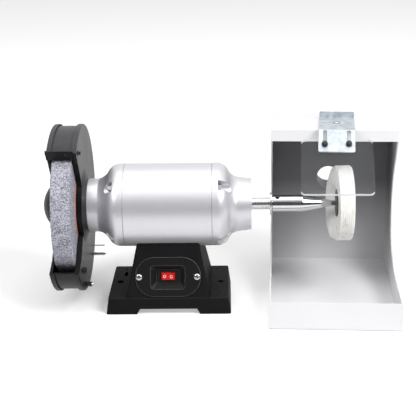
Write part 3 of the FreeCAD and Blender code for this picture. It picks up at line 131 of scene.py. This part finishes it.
class Finish:
    # one material, painted in the object's own coordinates
    easingSamples = 4

    def __init__(self, name):
        self.material = bpy.data.materials.new(name)
        self.material.use_nodes = True
        self.tree = self.material.node_tree
        self.shader = self.tree.nodes["Principled BSDF"]
        self.output = self.tree.nodes["Material Output"]
        self.place = self.node("TexCoord", out="Object")

    def node(self, kind, settings=None, inputs=None, out=0):
        made = self.tree.nodes.new("ShaderNode" + kind)
        for key, value in (settings or {}).items():
            if key == "stops":
                self.setStops(made.color_ramp, value)
            else:
                setattr(made, key, value)
        for key, value in (inputs or {}).items():
            plug(self.tree, made.inputs[key], value)
        return Flow(self.tree, made.outputs[out])

    def setStops(self, ramp, stops):
        while len(ramp.elements) < len(stops):
            ramp.elements.new(0.5)
        for element, (position, colour) in zip(ramp.elements, stops):
            element.position = position
            element.color = (*colour, 1)

    def set(self, **values):
        # sockets of the shader, with _ where their names have a space
        for key, value in values.items():
            plug(self.tree, self.shader.inputs[key.replace("_", " ")], value)
        return self

    def noise(self, scale, detail=3.0, roughness=0.55):
        inputs = {"Vector": self.place, "Scale": scale, "Detail": detail, "Roughness": roughness}
        return self.node("TexNoise", None, inputs, "Fac")

    def cells(self, scale, feature="F1", out="Distance"):
        inputs = {"Vector": self.place, "Scale": scale}
        return self.node("TexVoronoi", {"feature": feature}, inputs, out)

    def ramp(self, value, stops):
        return self.node("ValToRGB", {"stops": stops}, {"Fac": value})

    def mix(self, factor, first, second):
        return self.node("Mix", {"data_type": "RGBA"}, {0: factor, 6: first, 7: second}, 2)

    def vector(self, operation, *terms):
        inputs = dict(enumerate(terms))
        return self.node("VectorMath", {"operation": operation}, inputs, "Value")

    def along(self, way):
        # how far a point lies along a direction
        return self.vector("DOT_PRODUCT", self.place, way)

    def axis(self, name, where=None):
        return self.node("SeparateXYZ", None, {"Vector": where or self.place}, name)

    def facing(self):
        # the normal of the bare face
        return self.node("NewGeometry", out="True Normal")

    def step(self, value, low, high):
        # 0 below low and 1 above high, or the other way round where low is the larger
        return self.node("MapRange", None, {"Value": value, "From Min": low, "From Max": high})

    def spread(self, value, low, high):
        return self.node("MapRange", None, {"Value": value, "To Min": low, "To Max": high})

    def rounded(self, radius):
        # the normal as it would be with eased edges
        return self.node("Bevel", {"samples": self.easingSamples}, {"Radius": radius})

    def edges(self, radius, strength):
        # mask for painted highlights: bright where the surface turns a corner
        plain = self.node("NewGeometry", out="Normal")
        match = self.vector("DOT_PRODUCT", self.rounded(radius), plain)
        return ((1 - match) * strength).clamped()

    def relief(self, height, values):
        # bumps, over eased edges where the values give their radius
        inputs = {"Height": height, "Distance": values["depth"], "Strength": values["relief"]}
        if "eased" in values:
            inputs["Normal"] = self.rounded(values["eased"])
        return self.node("Bump", None, inputs)


# pale floor, room and three soft lamps

studio = {
    "floorHalf": 6.0,
    "floorDrop": 0.0002,                 # keeps the floor clear of the faces that stand on it
    "floorRough": 0.9,
    "floorColour": (0.80, 0.80, 0.80),
    "frontColour": (0.07, 0.07, 0.07),   # what shiny things mirror of the bench in front
    "frontReach": (-0.30, -0.75),        # where that front starts and is complete, along Y
    "floorGlow": 0.34,
    "farGlow": 0.62,                     # the floor whitens away from the object
    "glowReach": (0.35, 1.6),            # from where to where it whitens
    "roomLight": 0.16,                   # what the room adds from everywhere
    "roomFront": 0.10,                   # what shiny things mirror of the dim room in front
    "roomBack": 1.6,                     # how fast the mirrored room brightens to the back
    "roomUp": 2.2,                       # and upward
    "roomBase": 0.10,
    "lamps": {
        "topBox": {"place": (0.05, 0.0, 1.80), "target": (0.03, 0.0, 0.08),
                   "size": (1.3, 0.9), "power": 12.0},
        "leftKey": {"place": (-1.05, -1.0, 1.45), "target": (0.0, 0.0, 0.1),
                    "size": (0.9, 0.9), "power": 16.0},
        "rightKey": {"place": (1.15, -1.0, 1.45), "target": (0.05, 0.0, 0.1),
                     "size": (0.9, 0.9), "power": 32.0},
    },
}


def floorPaint(values):
    finish = Finish("floorFinish")
    camera = finish.node("LightPath", out="Is Camera Ray")
    glossy = finish.node("LightPath", out="Is Glossy Ray")
    through = finish.node("LightPath", out="Is Transmission Ray")
    front = finish.step(finish.axis("Y"), *values["frontReach"]) * glossy
    finish.set(Base_Color=finish.mix(front, values["floorColour"], values["frontColour"]),
               Roughness=values["floorRough"], Specular_IOR_Level=0.0)
    seen = ((camera + glossy + through) * (1 - front)).clamped()
    away = finish.vector("LENGTH", finish.place)
    near, far = values["glowReach"]
    strength = finish.node("MapRange", None, {
        "Value": away, "From Min": near, "From Max": far,
        "To Min": values["floorGlow"], "To Max": values["farGlow"]})
    glow = finish.node("Emission", None, {"Color": (1, 1, 1), "Strength": strength})
    plain = Flow(finish.tree, finish.shader.outputs[0])
    both = finish.node("AddShader", None, {0: plain, 1: glow})
    mixed = finish.node("MixShader", None, {0: seen, 1: plain, 2: both})
    finish.tree.links.new(mixed.socket, finish.output.inputs["Surface"])
    return finish


def addFloor(values):
    half = values["floorHalf"]
    corners = [(-half, -half, 0), (half, -half, 0), (half, half, 0), (-half, half, 0)]
    data = bpy.data.meshes.new("floor")
    data.from_pydata(corners, [], [(0, 1, 2, 3)])
    floor = bpy.data.objects.new("floor", data)
    floor.location.z = -values["floorDrop"]
    scene.collection.objects.link(floor)
    data.materials.append(floorPaint(values).material)


def addRoom(values):
    # white where it is seen, dim in front where shiny things mirror it
    world = bpy.data.worlds.new("studioRoom")
    world.use_nodes = True
    tree = world.node_tree
    tree.nodes.clear()
    path = tree.nodes.new("ShaderNodeLightPath")
    way = tree.nodes.new("ShaderNodeTexCoord")
    parts = tree.nodes.new("ShaderNodeSeparateXYZ")
    tree.links.new(way.outputs["Generated"], parts.inputs[0])
    back, up = (Flow(tree, parts.outputs[name]) for name in "YZ")
    camera, through, glossy = (Flow(tree, path.outputs["Is " + name + " Ray"])
                               for name in ("Camera", "Transmission", "Glossy"))
    behind = (back * values["roomBack"] + up * values["roomUp"] + values["roomBase"]).clamped()
    mirrored = behind * (1 - values["roomFront"]) + values["roomFront"]
    seen = (camera + through).clamped()
    plain = (1 - seen) * (1 - glossy) * values["roomLight"]
    room = tree.nodes.new("ShaderNodeBackground")
    output = tree.nodes.new("ShaderNodeOutputWorld")
    plug(tree, room.inputs["Strength"], seen + glossy * mirrored + plain)
    room.inputs["Color"].default_value = (1, 1, 1, 1)
    tree.links.new(room.outputs[0], output.inputs["Surface"])
    scene.world = world


def addLamps(lamps):
    for name, lamp in lamps.items():
        data = bpy.data.lights.new(name, "AREA")
        data.shape = "RECTANGLE"
        data.size, data.size_y = lamp["size"]
        data.energy = lamp["power"]
        box = bpy.data.objects.new(name, data)
        place, target = Vector(lamp["place"]), Vector(lamp["target"])
        box.location = place
        box.rotation_euler = (target - place).to_track_quat("-Z", "Y").to_euler()
        scene.collection.objects.link(box)


addCamera(photoCamera)
addFloor(studio)
addRoom(studio)
addLamps(studio["lamps"])
scene.view_settings.view_transform = "Standard"
print("camera and studio set")


# finishes: lengths in metres, scales in cells per metre

def crinklePaint():
    values = {"dark": (0.004, 0.004, 0.0045), "light": (0.009, 0.009, 0.010),
              "edge": (0.05, 0.051, 0.054), "highlightStrength": 5.0,
              "highlightBreaks": 190.0, "highlightBreak": (0.35, 1.0),
              "grain": 620.0, "fineGrain": 1054.0, "patches": 45.0,
              "grainShare": 0.7, "fineShare": 0.5,
              "rough": (0.5, 0.72), "gloss": 0.09,
              "depth": 0.0004, "relief": 0.55, "eased": 0.0011}
    finish = Finish("crinklePaint")
    grain = finish.cells(values["grain"], "SMOOTH_F1")
    fine = finish.noise(values["fineGrain"], 2.0)
    base = finish.mix(finish.noise(values["patches"]), values["dark"], values["light"])
    # painted highlight along the edges, broken up by noise
    edge = finish.edges(values["eased"], values["highlightStrength"]) \
        * finish.spread(finish.noise(values["highlightBreaks"]), *values["highlightBreak"])
    height = grain * values["grainShare"] + fine * values["fineShare"]
    return finish.set(Base_Color=finish.mix(edge, base, values["edge"]),
                      Roughness=finish.spread(fine, *values["rough"]),
                      Specular_IOR_Level=values["gloss"],
                      Normal=finish.relief(height, values))


def blackPaint():
    # painted sheen: the upper parts are painted a lighter grey in soft patches, as light from above
    # would catch them, other than what faces the front, which stays black
    values = {"colour": (0.005, 0.005, 0.0055), "paintedLightMix": (0.062, 0.062, 0.066),
              "paintedLightReach": (0.055, 0.200), "frontReach": (0.4, 0.8),
              "clouds": 60.0, "cloud": (0.75, 1.1),
              "edgeLight": (0.06, 0.06, 0.063), "edgeLightStrength": 3.0,
              "edgeLightBreaks": 240.0, "edgeLightBreak": (0.2, 1.0),
              "peel": 420.0, "smears": 30.0, "rough": (0.34, 0.46), "gloss": 0.15,
              "depth": 0.00008, "relief": 0.35, "eased": 0.0005}
    finish = Finish("blackPaint")
    # painted highlight along the edges, broken up by noise
    edge = finish.edges(values["eased"], values["edgeLightStrength"]) \
        * finish.spread(finish.noise(values["edgeLightBreaks"]), *values["edgeLightBreak"])
    # painted sheen on the upper parts, left off the faces that look to the front
    frontward = finish.axis("Y", finish.facing()) * -1.0
    paintedLight = finish.step(finish.axis("Z"), *values["paintedLightReach"]) \
        * (1 - finish.step(frontward, *values["frontReach"])) \
        * finish.spread(finish.noise(values["clouds"], 4.0), *values["cloud"])
    base = finish.mix(paintedLight, values["colour"], values["paintedLightMix"])
    return finish.set(Base_Color=finish.mix(edge, base, values["edgeLight"]),
                      Roughness=finish.spread(finish.noise(values["smears"]), *values["rough"]),
                      Specular_IOR_Level=values["gloss"],
                      Normal=finish.relief(finish.noise(values["peel"], 2.0), values))


def silverPaint():
    values = {"colour": (0.66, 0.66, 0.69), "shade": (0.60, 0.60, 0.63), "flakes": 2600.0,
              "metallic": 0.6, "smears": 25.0, "rough": (0.36, 0.42),
              "peel": 300.0, "depth": 0.00006, "relief": 0.3, "eased": 0.0006}
    finish = Finish("silverPaint")
    flake = finish.noise(values["flakes"], 1.0)
    return finish.set(Base_Color=finish.mix(flake, values["shade"], values["colour"]),
                      Metallic=values["metallic"],
                      Roughness=finish.spread(finish.noise(values["smears"]), *values["rough"]),
                      Normal=finish.relief(finish.noise(values["peel"], 2.0), values))


# the hood's front left corner on the bench, and its size
hoodFrame = {"corner": (0.1044, -0.0842), "turn": 0.0546, "width": 0.1354, "depth": 0.1972,
             "sheet": 0.0015}


def whitePaint():
    # white powder coat, with painted shade deep inside the hood: greyer towards the back wall and
    # higher up, in soft patches, and in the port's bore
    values = {"colour": (0.80, 0.80, 0.82), "edge": (0.76, 0.76, 0.77), "patches": 18.0,
              "paintedLight": (0.150, 0.150, 0.163), "paintedLightReach": (0.112, 0.165),
              "lowShade": 0.14, "shadeHeight": 0.100, "clouds": 22.0, "cloud": (0.92, 1.04),
              "insideStep": 1.2,               # in half sheets
              "upwardReach": (0.4, 0.6),       # faces that look up get no painted shade
              "portAcross": 0.0657, "portUp": 0.1033, "portBore": 0.0138, "portStep": 0.25,
              "smears": 40.0, "rough": (0.42, 0.5),
              "peel": 500.0, "depth": 0.00006, "relief": 0.3, "eased": 0.0005}
    finish = Finish("whitePaint")
    (cornerX, cornerY), turn = hoodFrame["corner"], hoodFrame["turn"]
    cosine, sine = math.cos(turn), math.sin(turn)
    across = finish.along((cosine, -sine, 0)) - (cornerX * cosine - cornerY * sine)
    deep = finish.along((sine, cosine, 0)) - (cornerX * sine + cornerY * cosine)
    up = finish.axis("Z")
    half = hoodFrame["sheet"] / 2

    def inside(distance):
        return finish.step(distance, half, half * values["insideStep"])

    upward = finish.axis("Z", finish.facing())
    within = inside(across) * inside(hoodFrame["width"] - across) \
        * inside(hoodFrame["depth"] - deep) * (1 - finish.step(upward, *values["upwardReach"]))
    # painted shade: darker towards the back wall, less so low down where the floor lights it, in
    # soft patches
    amount = finish.step(deep, *values["paintedLightReach"])
    rise = finish.step(up, 0.0, values["shadeHeight"]) * (1 - values["lowShade"]) + values["lowShade"]
    cloud = finish.spread(finish.noise(values["clouds"], 4.0), *values["cloud"])
    fromPort = (across - values["portAcross"], up - values["portUp"])
    off = (fromPort[0] * fromPort[0] + fromPort[1] * fromPort[1]) ** 0.5
    # painted shade in the port's bore through the back wall
    duct = finish.step(deep, hoodFrame["depth"] - half, hoodFrame["depth"]) \
        * finish.step(values["portBore"] - off, 0.0, half * values["portStep"])
    paintedLightMix = (amount * rise * within * cloud + duct).clamped()
    plain = finish.mix(finish.noise(values["patches"]), values["edge"], values["colour"])
    return finish.set(Base_Color=finish.mix(paintedLightMix, plain, values["paintedLight"]),
                      Roughness=finish.spread(finish.noise(values["smears"]), *values["rough"]),
                      Normal=finish.relief(finish.noise(values["peel"], 2.0), values))


def spangledZinc():
    values = {"bright": (0.60, 0.65, 0.69), "dull": (0.36, 0.40, 0.44), "crystals": 240.0,
              "crystalShare": 0.5, "blotches": 120.0, "blotchReach": (0.42, 0.62),
              "metallic": 0.55, "rough": (0.48, 0.62), "fineGrain": 900.0,
              "crystalHeight": 0.6, "depth": 0.00008, "relief": 0.35, "eased": 0.0004}
    finish = Finish("spangledZinc")
    crystal = finish.axis(0, finish.cells(values["crystals"], out="Color"))
    blotch = finish.step(finish.noise(values["blotches"]), *values["blotchReach"])
    tone = crystal * values["crystalShare"] + blotch * (1 - values["crystalShare"])
    height = crystal * values["crystalHeight"] \
        + finish.noise(values["fineGrain"], 2.0) * (1 - values["crystalHeight"])
    return finish.set(Base_Color=finish.mix(tone, values["dull"], values["bright"]),
                      Metallic=values["metallic"],
                      Roughness=finish.spread(crystal, *values["rough"]),
                      Normal=finish.relief(height, values))


def turnedSteel(name, colour, rough, rings):
    # fine rings left by the turning tool, along the shaft
    values = {"depth": 0.00001, "relief": 0.2, "eased": 0.0003}
    finish = Finish(name)
    inputs = {"W": finish.axis("X"), "Scale": rings, "Detail": 3.0}
    ring = finish.node("TexNoise", {"noise_dimensions": "1D"}, inputs, "Fac")
    return finish.set(Base_Color=colour, Metallic=1.0, Roughness=finish.spread(ring, *rough),
                      Normal=finish.relief(ring, values))


def plainMetal(name, colour, rough, metallic=1.0):
    values = {"grain": 700.0, "varies": 0.06, "depth": 0.00005, "relief": 0.3, "eased": 0.0003}
    finish = Finish(name)
    fine = finish.noise(values["grain"])
    low, high = rough - values["varies"], rough + values["varies"]
    return finish.set(Base_Color=colour, Metallic=metallic,
                      Roughness=finish.spread(fine, low, high),
                      Normal=finish.relief(fine, values))


def plainPlastic(name, colour, rough):
    values = {"grain": 1200.0, "varies": 0.05, "depth": 0.00005, "relief": 0.3, "eased": 0.0004}
    finish = Finish(name)
    fine = finish.noise(values["grain"], 2.0)
    low, high = rough - values["varies"], rough + values["varies"]
    return finish.set(Base_Color=colour, Roughness=finish.spread(fine, low, high),
                      Normal=finish.relief(fine, values))


def mouldedPlastic():
    # black plastic with a painted highlight on the edges where they would catch the light
    values = {"colour": (0.005, 0.005, 0.0055), "edge": (0.42, 0.42, 0.43), "highlightStrength": 2.4,
              "grain": 1200.0, "rough": (0.42, 0.52), "gloss": 0.2,
              "depth": 0.00005, "relief": 0.3, "eased": 0.0008}
    finish = Finish("mouldedPlastic")
    fine = finish.noise(values["grain"], 2.0)
    # painted highlight on the edges
    edge = finish.edges(values["eased"], values["highlightStrength"])
    return finish.set(Base_Color=finish.mix(edge, values["colour"], values["edge"]),
                      Roughness=finish.spread(fine, *values["rough"]),
                      Specular_IOR_Level=values["gloss"],
                      Normal=finish.relief(fine, values))


def abrasiveGrain():
    values = {"dark": (0.055, 0.055, 0.075), "light": (0.52, 0.52, 0.60), "toneReach": (0.38, 0.58),
              "grit": 620.0, "gritDetail": 4.0, "gritRough": 0.8, "pits": 496.0, "clouds": 70.0,
              "gritShare": 0.85, "gritHeight": 0.6, "pitHeight": 0.5,
              "rough": 0.92, "depth": 0.0006, "relief": 0.8}
    finish = Finish("abrasiveGrain")
    grit = finish.noise(values["grit"], values["gritDetail"], values["gritRough"])
    pits = finish.cells(values["pits"])
    cloud = finish.noise(values["clouds"])
    speckle = grit * values["gritShare"] + cloud * (1 - values["gritShare"])
    low, high = values["toneReach"]
    tone = finish.ramp(speckle, [(low, values["dark"]), (high, values["light"])])
    height = grit * values["gritHeight"] + pits * values["pitHeight"]
    return finish.set(Base_Color=tone, Roughness=values["rough"],
                      Normal=finish.relief(height, values))


def blotterPaper():
    # the red paper washers of the grinding wheel
    values = {"dark": (0.62, 0.17, 0.11), "light": (0.80, 0.30, 0.21), "fibres": 600.0,
              "rough": 0.85, "depth": 0.0001, "relief": 0.4}
    finish = Finish("blotterPaper")
    fibre = finish.noise(values["fibres"], 4.0, 0.7)
    return finish.set(Base_Color=finish.mix(fibre, values["dark"], values["light"]),
                      Roughness=values["rough"], Normal=finish.relief(fibre, values))


def cottonCloth():
    # white cotton, browned where the work touches the rim
    values = {"colour": (0.90, 0.89, 0.87), "weft": (0.80, 0.79, 0.77), "stain": (0.62, 0.47, 0.34),
              "touched": (0.187, -0.036, 0.092), "reach": 0.032, "fades": 0.016, "strength": 0.55,
              "blots": 150.0, "blotReach": (0.52, 0.68),
              "fibres": 900.0, "lint": 260.0, "fibreShare": 0.5,
              "rough": 0.95, "depth": 0.0004, "relief": 0.6}
    finish = Finish("cottonCloth")
    fibre = finish.noise(values["fibres"], 4.0, 0.7)
    lint = finish.noise(values["lint"])
    offset = finish.vector("DISTANCE", finish.place, values["touched"])
    blots = finish.step(finish.noise(values["blots"]), *values["blotReach"]) \
        * finish.step(values["reach"] - offset, 0.0, values["fades"]) * values["strength"]
    clean = finish.mix(fibre, values["weft"], values["colour"])
    height = fibre * values["fibreShare"] + lint * (1 - values["fibreShare"])
    return finish.set(Base_Color=finish.mix(blots, clean, values["stain"]),
                      Roughness=values["rough"], Normal=finish.relief(height, values))


def clearSheet():
    # clear faces and bright sawn edges
    values = {"facing": (-0.075, -0.525, 0.848), "rimReach": (0.93, 0.85),
              "faceColour": (0.30, 0.31, 0.32), "edgeColour": (0.92, 0.94, 0.95),
              "faceAlpha": 0.035, "edgeAlpha": 0.8, "rough": 0.06}
    finish = Finish("clearSheet")
    flat = finish.vector("DOT_PRODUCT", finish.facing(), values["facing"]).size()
    rim = finish.step(flat, *values["rimReach"])
    return finish.set(Base_Color=finish.mix(rim, values["faceColour"], values["edgeColour"]),
                      Roughness=values["rough"],
                      Alpha=finish.spread(rim, values["faceAlpha"], values["edgeAlpha"]))


def rockerPlastic():
    # red plastic with a white ring on each half
    values = {"colour": (0.55, 0.012, 0.010), "mark": (0.85, 0.84, 0.82),
              "places": (-0.0038, 0.0034), "height": 0.0396, "slant": 1.04,
              "ring": 0.00135, "line": 0.00027, "lineSharp": 0.6,
              "grain": 1200.0, "rough": (0.17, 0.27),
              "depth": 0.00005, "relief": 0.3, "eased": 0.0004}
    finish = Finish("rockerPlastic")
    fine = finish.noise(values["grain"], 2.0)
    across = finish.axis("X")
    up = (finish.axis("Z") - values["height"]) * values["slant"]
    marks = 0.0
    for x in values["places"]:
        reach = ((across - x) * (across - x) + up * up) ** 0.5
        fromRing = (reach - values["ring"]).size()
        marks = marks + finish.step(fromRing, values["line"], values["line"] * values["lineSharp"])
    return finish.set(Base_Color=finish.mix(marks.clamped(), values["colour"], values["mark"]),
                      Roughness=finish.spread(fine, *values["rough"]),
                      Normal=finish.relief(fine, values))


# one finish for each material slot of the frame
finishes = {
    "pedestal_paint": crinklePaint(),
    "guard_paint": blackPaint(),
    "motor_paint": silverPaint(),
    "hood_paint": whitePaint(),
    "zinc_sheet": spangledZinc(),
    "machined_steel": turnedSteel("machinedSteel", (0.60, 0.60, 0.61), (0.2, 0.34), 900.0),
    "polished_steel": turnedSteel("polishedSteel", (0.62, 0.62, 0.63), (0.08, 0.2), 700.0),
    "plated_screws": plainMetal("platedScrews", (0.50, 0.50, 0.50), 0.24),
    "black_screws": plainMetal("blackScrews", (0.025, 0.025, 0.026), 0.4, metallic=0.4),
    "zinc_plate": plainMetal("zincPlate", (0.52, 0.53, 0.54), 0.36),
    "core_steel": plainMetal("coreSteel", (0.3, 0.3, 0.31), 0.5),
    "copper_windings": plainMetal("copperWindings", (0.5, 0.2, 0.09), 0.4),
    "aluminium_can": plainMetal("aluminiumCan", (0.7, 0.7, 0.71), 0.3),
    "black_plastic": mouldedPlastic(),
    "switch_black": plainPlastic("switchBlack", (0.01, 0.01, 0.011), 0.22),
    "rocker_red": rockerPlastic(),
    "terminal_plastic": plainPlastic("terminalPlastic", (0.72, 0.7, 0.64), 0.45),
    "foot_rubber": plainPlastic("footRubber", (0.015, 0.015, 0.015), 0.75),
    "abrasive": abrasiveGrain(),
    "label_paper": blotterPaper(),
    "cotton": cottonCloth(),
    "hub_metal": plainMetal("hubMetal", (0.06, 0.06, 0.06), 0.4, metallic=0.6),
    "clear_sheet": clearSheet(),
}

for subpart in frame["record"]["subparts"]:
    node = frame["nodes"][subpart["node"]]
    for place in node.material_slots:
        place.material = finishes[subpart["material_slot"]].material
print("finishes set:", len(finishes))


# the cotton buff: a layered disc whose left face sags out at the back

buffShape = {
    "axisHeight": 0.10755,
    "cuts": 240,                          # cuts through the disc, all round
    "bore": 0.0061,
    "faceLeft": 0.17945,
    "faceRight": 0.1952,
    "behindDisc": (0.1807, 0.1939),       # left and right faces under the hub discs
    "discRadius": 0.0146,
    "discEase": 0.004,                    # over which the left face rises from its hub disc
    "leftRadii": (0.0165, 0.0185, 0.021, 0.024, 0.027, 0.030, 0.033, 0.0355, 0.0375, 0.0388,
                  0.0395),
    "rightRadii": (0.034, 0.030, 0.026, 0.021, 0.017),
    "rim": 0.03995,
    "rightRound": 0.0032,
    "plies": 7,
    "plySteps": 4,
    "groove": 0.0006,
    "ragged": {"around": 9.0, "size": 0.00042, "apart": 0.01},
    # how far the full sag reaches at each radius
    "sag": ((0.0146, 0.1807), (0.0200, 0.1735), (0.0310, 0.1696), (0.0375, 0.1722),
            (0.0396, 0.1768)),
    # share of the full sag round the disc: degrees from the front, ninety at the top
    "sagRound": ((0, 0.0), (40, 0.05), (70, 0.25), (100, 0.5), (130, 0.68), (160, 0.9), (190, 0.97),
                 (250, 0.97), (275, 0.88), (300, 0.45), (325, 0.15), (345, 0.0), (360, 0.0)),
    "crease": {"degrees": 285, "width": 7, "depth": 0.0013},
    "leftFolds": {"around": 2.2, "size": 0.0007, "flatShare": 0.3},
    "rightFolds": {"around": 2.6, "size": 0.00035},
    "foldsOutward": 900,                  # how fast the folds change with the radius
    "inward": 0.0022,                     # how far the creased left face may sink
}


def between(table, at):
    for (start, low), (end, high) in zip(table, table[1:]):
        if at <= end:
            return low + (high - low) * max(0.0, (at - start) / (end - start))
    return table[-1][1]


def buffRing(values, degrees):
    # the (x, radius) places of one cut through the disc
    sagged = between(values["sagRound"], degrees)
    crease = values["crease"]
    pinch = math.exp(-((degrees - crease["degrees"]) / crease["width"]) ** 2) * crease["depth"]
    turn = math.radians(degrees)
    behindLeft, behindRight = values["behindDisc"]
    left, right = values["faceLeft"], values["faceRight"]

    def ruffle(at, folds):
        around = folds["around"]
        place = (math.cos(turn) * around, math.sin(turn) * around, at * values["foldsOutward"])
        return noise.noise(Vector(place)) * folds["size"]

    places = [(behindLeft, values["bore"]), (behindLeft, values["discRadius"])]
    folds = values["leftFolds"]
    for radius in values["leftRadii"]:
        lift = min(1.0, (radius - values["discRadius"]) / values["discEase"])
        flat = behindLeft + (left - behindLeft) * lift
        full = between(values["sag"], radius)
        x = flat + (full - flat) * sagged
        x += lift * (pinch * sagged + abs(ruffle(radius, folds)) * (folds["flatShare"] + sagged))
        places.append((min(x, left + values["inward"]), radius))

    edge = places[-1][0]
    steps = values["plies"] * values["plySteps"]
    rounding = values["rightRound"]
    for index in range(steps + 1):
        x = edge + (right - edge) * (index / steps)
        ply = index // values["plySteps"]
        radius = values["rim"] + ruffle(ply * values["ragged"]["apart"], values["ragged"])
        if index % values["plySteps"] == 0:
            radius -= values["groove"]
        over = max(0.0, x - (right - rounding))
        radius -= rounding - math.sqrt(max(0.0, rounding ** 2 - over ** 2))
        places.append((x, radius))

    for radius in values["rightRadii"]:
        places.append((right - abs(ruffle(radius, values["rightFolds"])), radius))
    places.append((behindRight, values["discRadius"]))
    places.append((behindRight, values["bore"]))
    return places


def addBuff(values):
    count = values["cuts"]
    rings = [buffRing(values, 360.0 * index / count) for index in range(count)]
    points = []
    for index, ring in enumerate(rings):
        turn = math.tau * index / count
        points += [(x, -radius * math.cos(turn), values["axisHeight"] + radius * math.sin(turn))
                   for x, radius in ring]
    size = len(rings[0])
    faces = []
    for index in range(count):
        here, after = index * size, (index + 1) % count * size
        for step in range(size):
            ahead = (step + 1) % size
            faces.append((here + step, after + step, after + ahead, here + ahead))
    data = bpy.data.meshes.new("clothBuff")
    data.from_pydata(points, [], faces)
    data.update()
    data.shade_smooth()
    piece = bpy.data.objects.new("clothBuff", data)
    scene.collection.objects.link(piece)
    data.materials.append(finishes["cotton"].material)
    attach(piece, "spindle")
    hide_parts("buff")


addBuff(buffShape)
print("buff set")
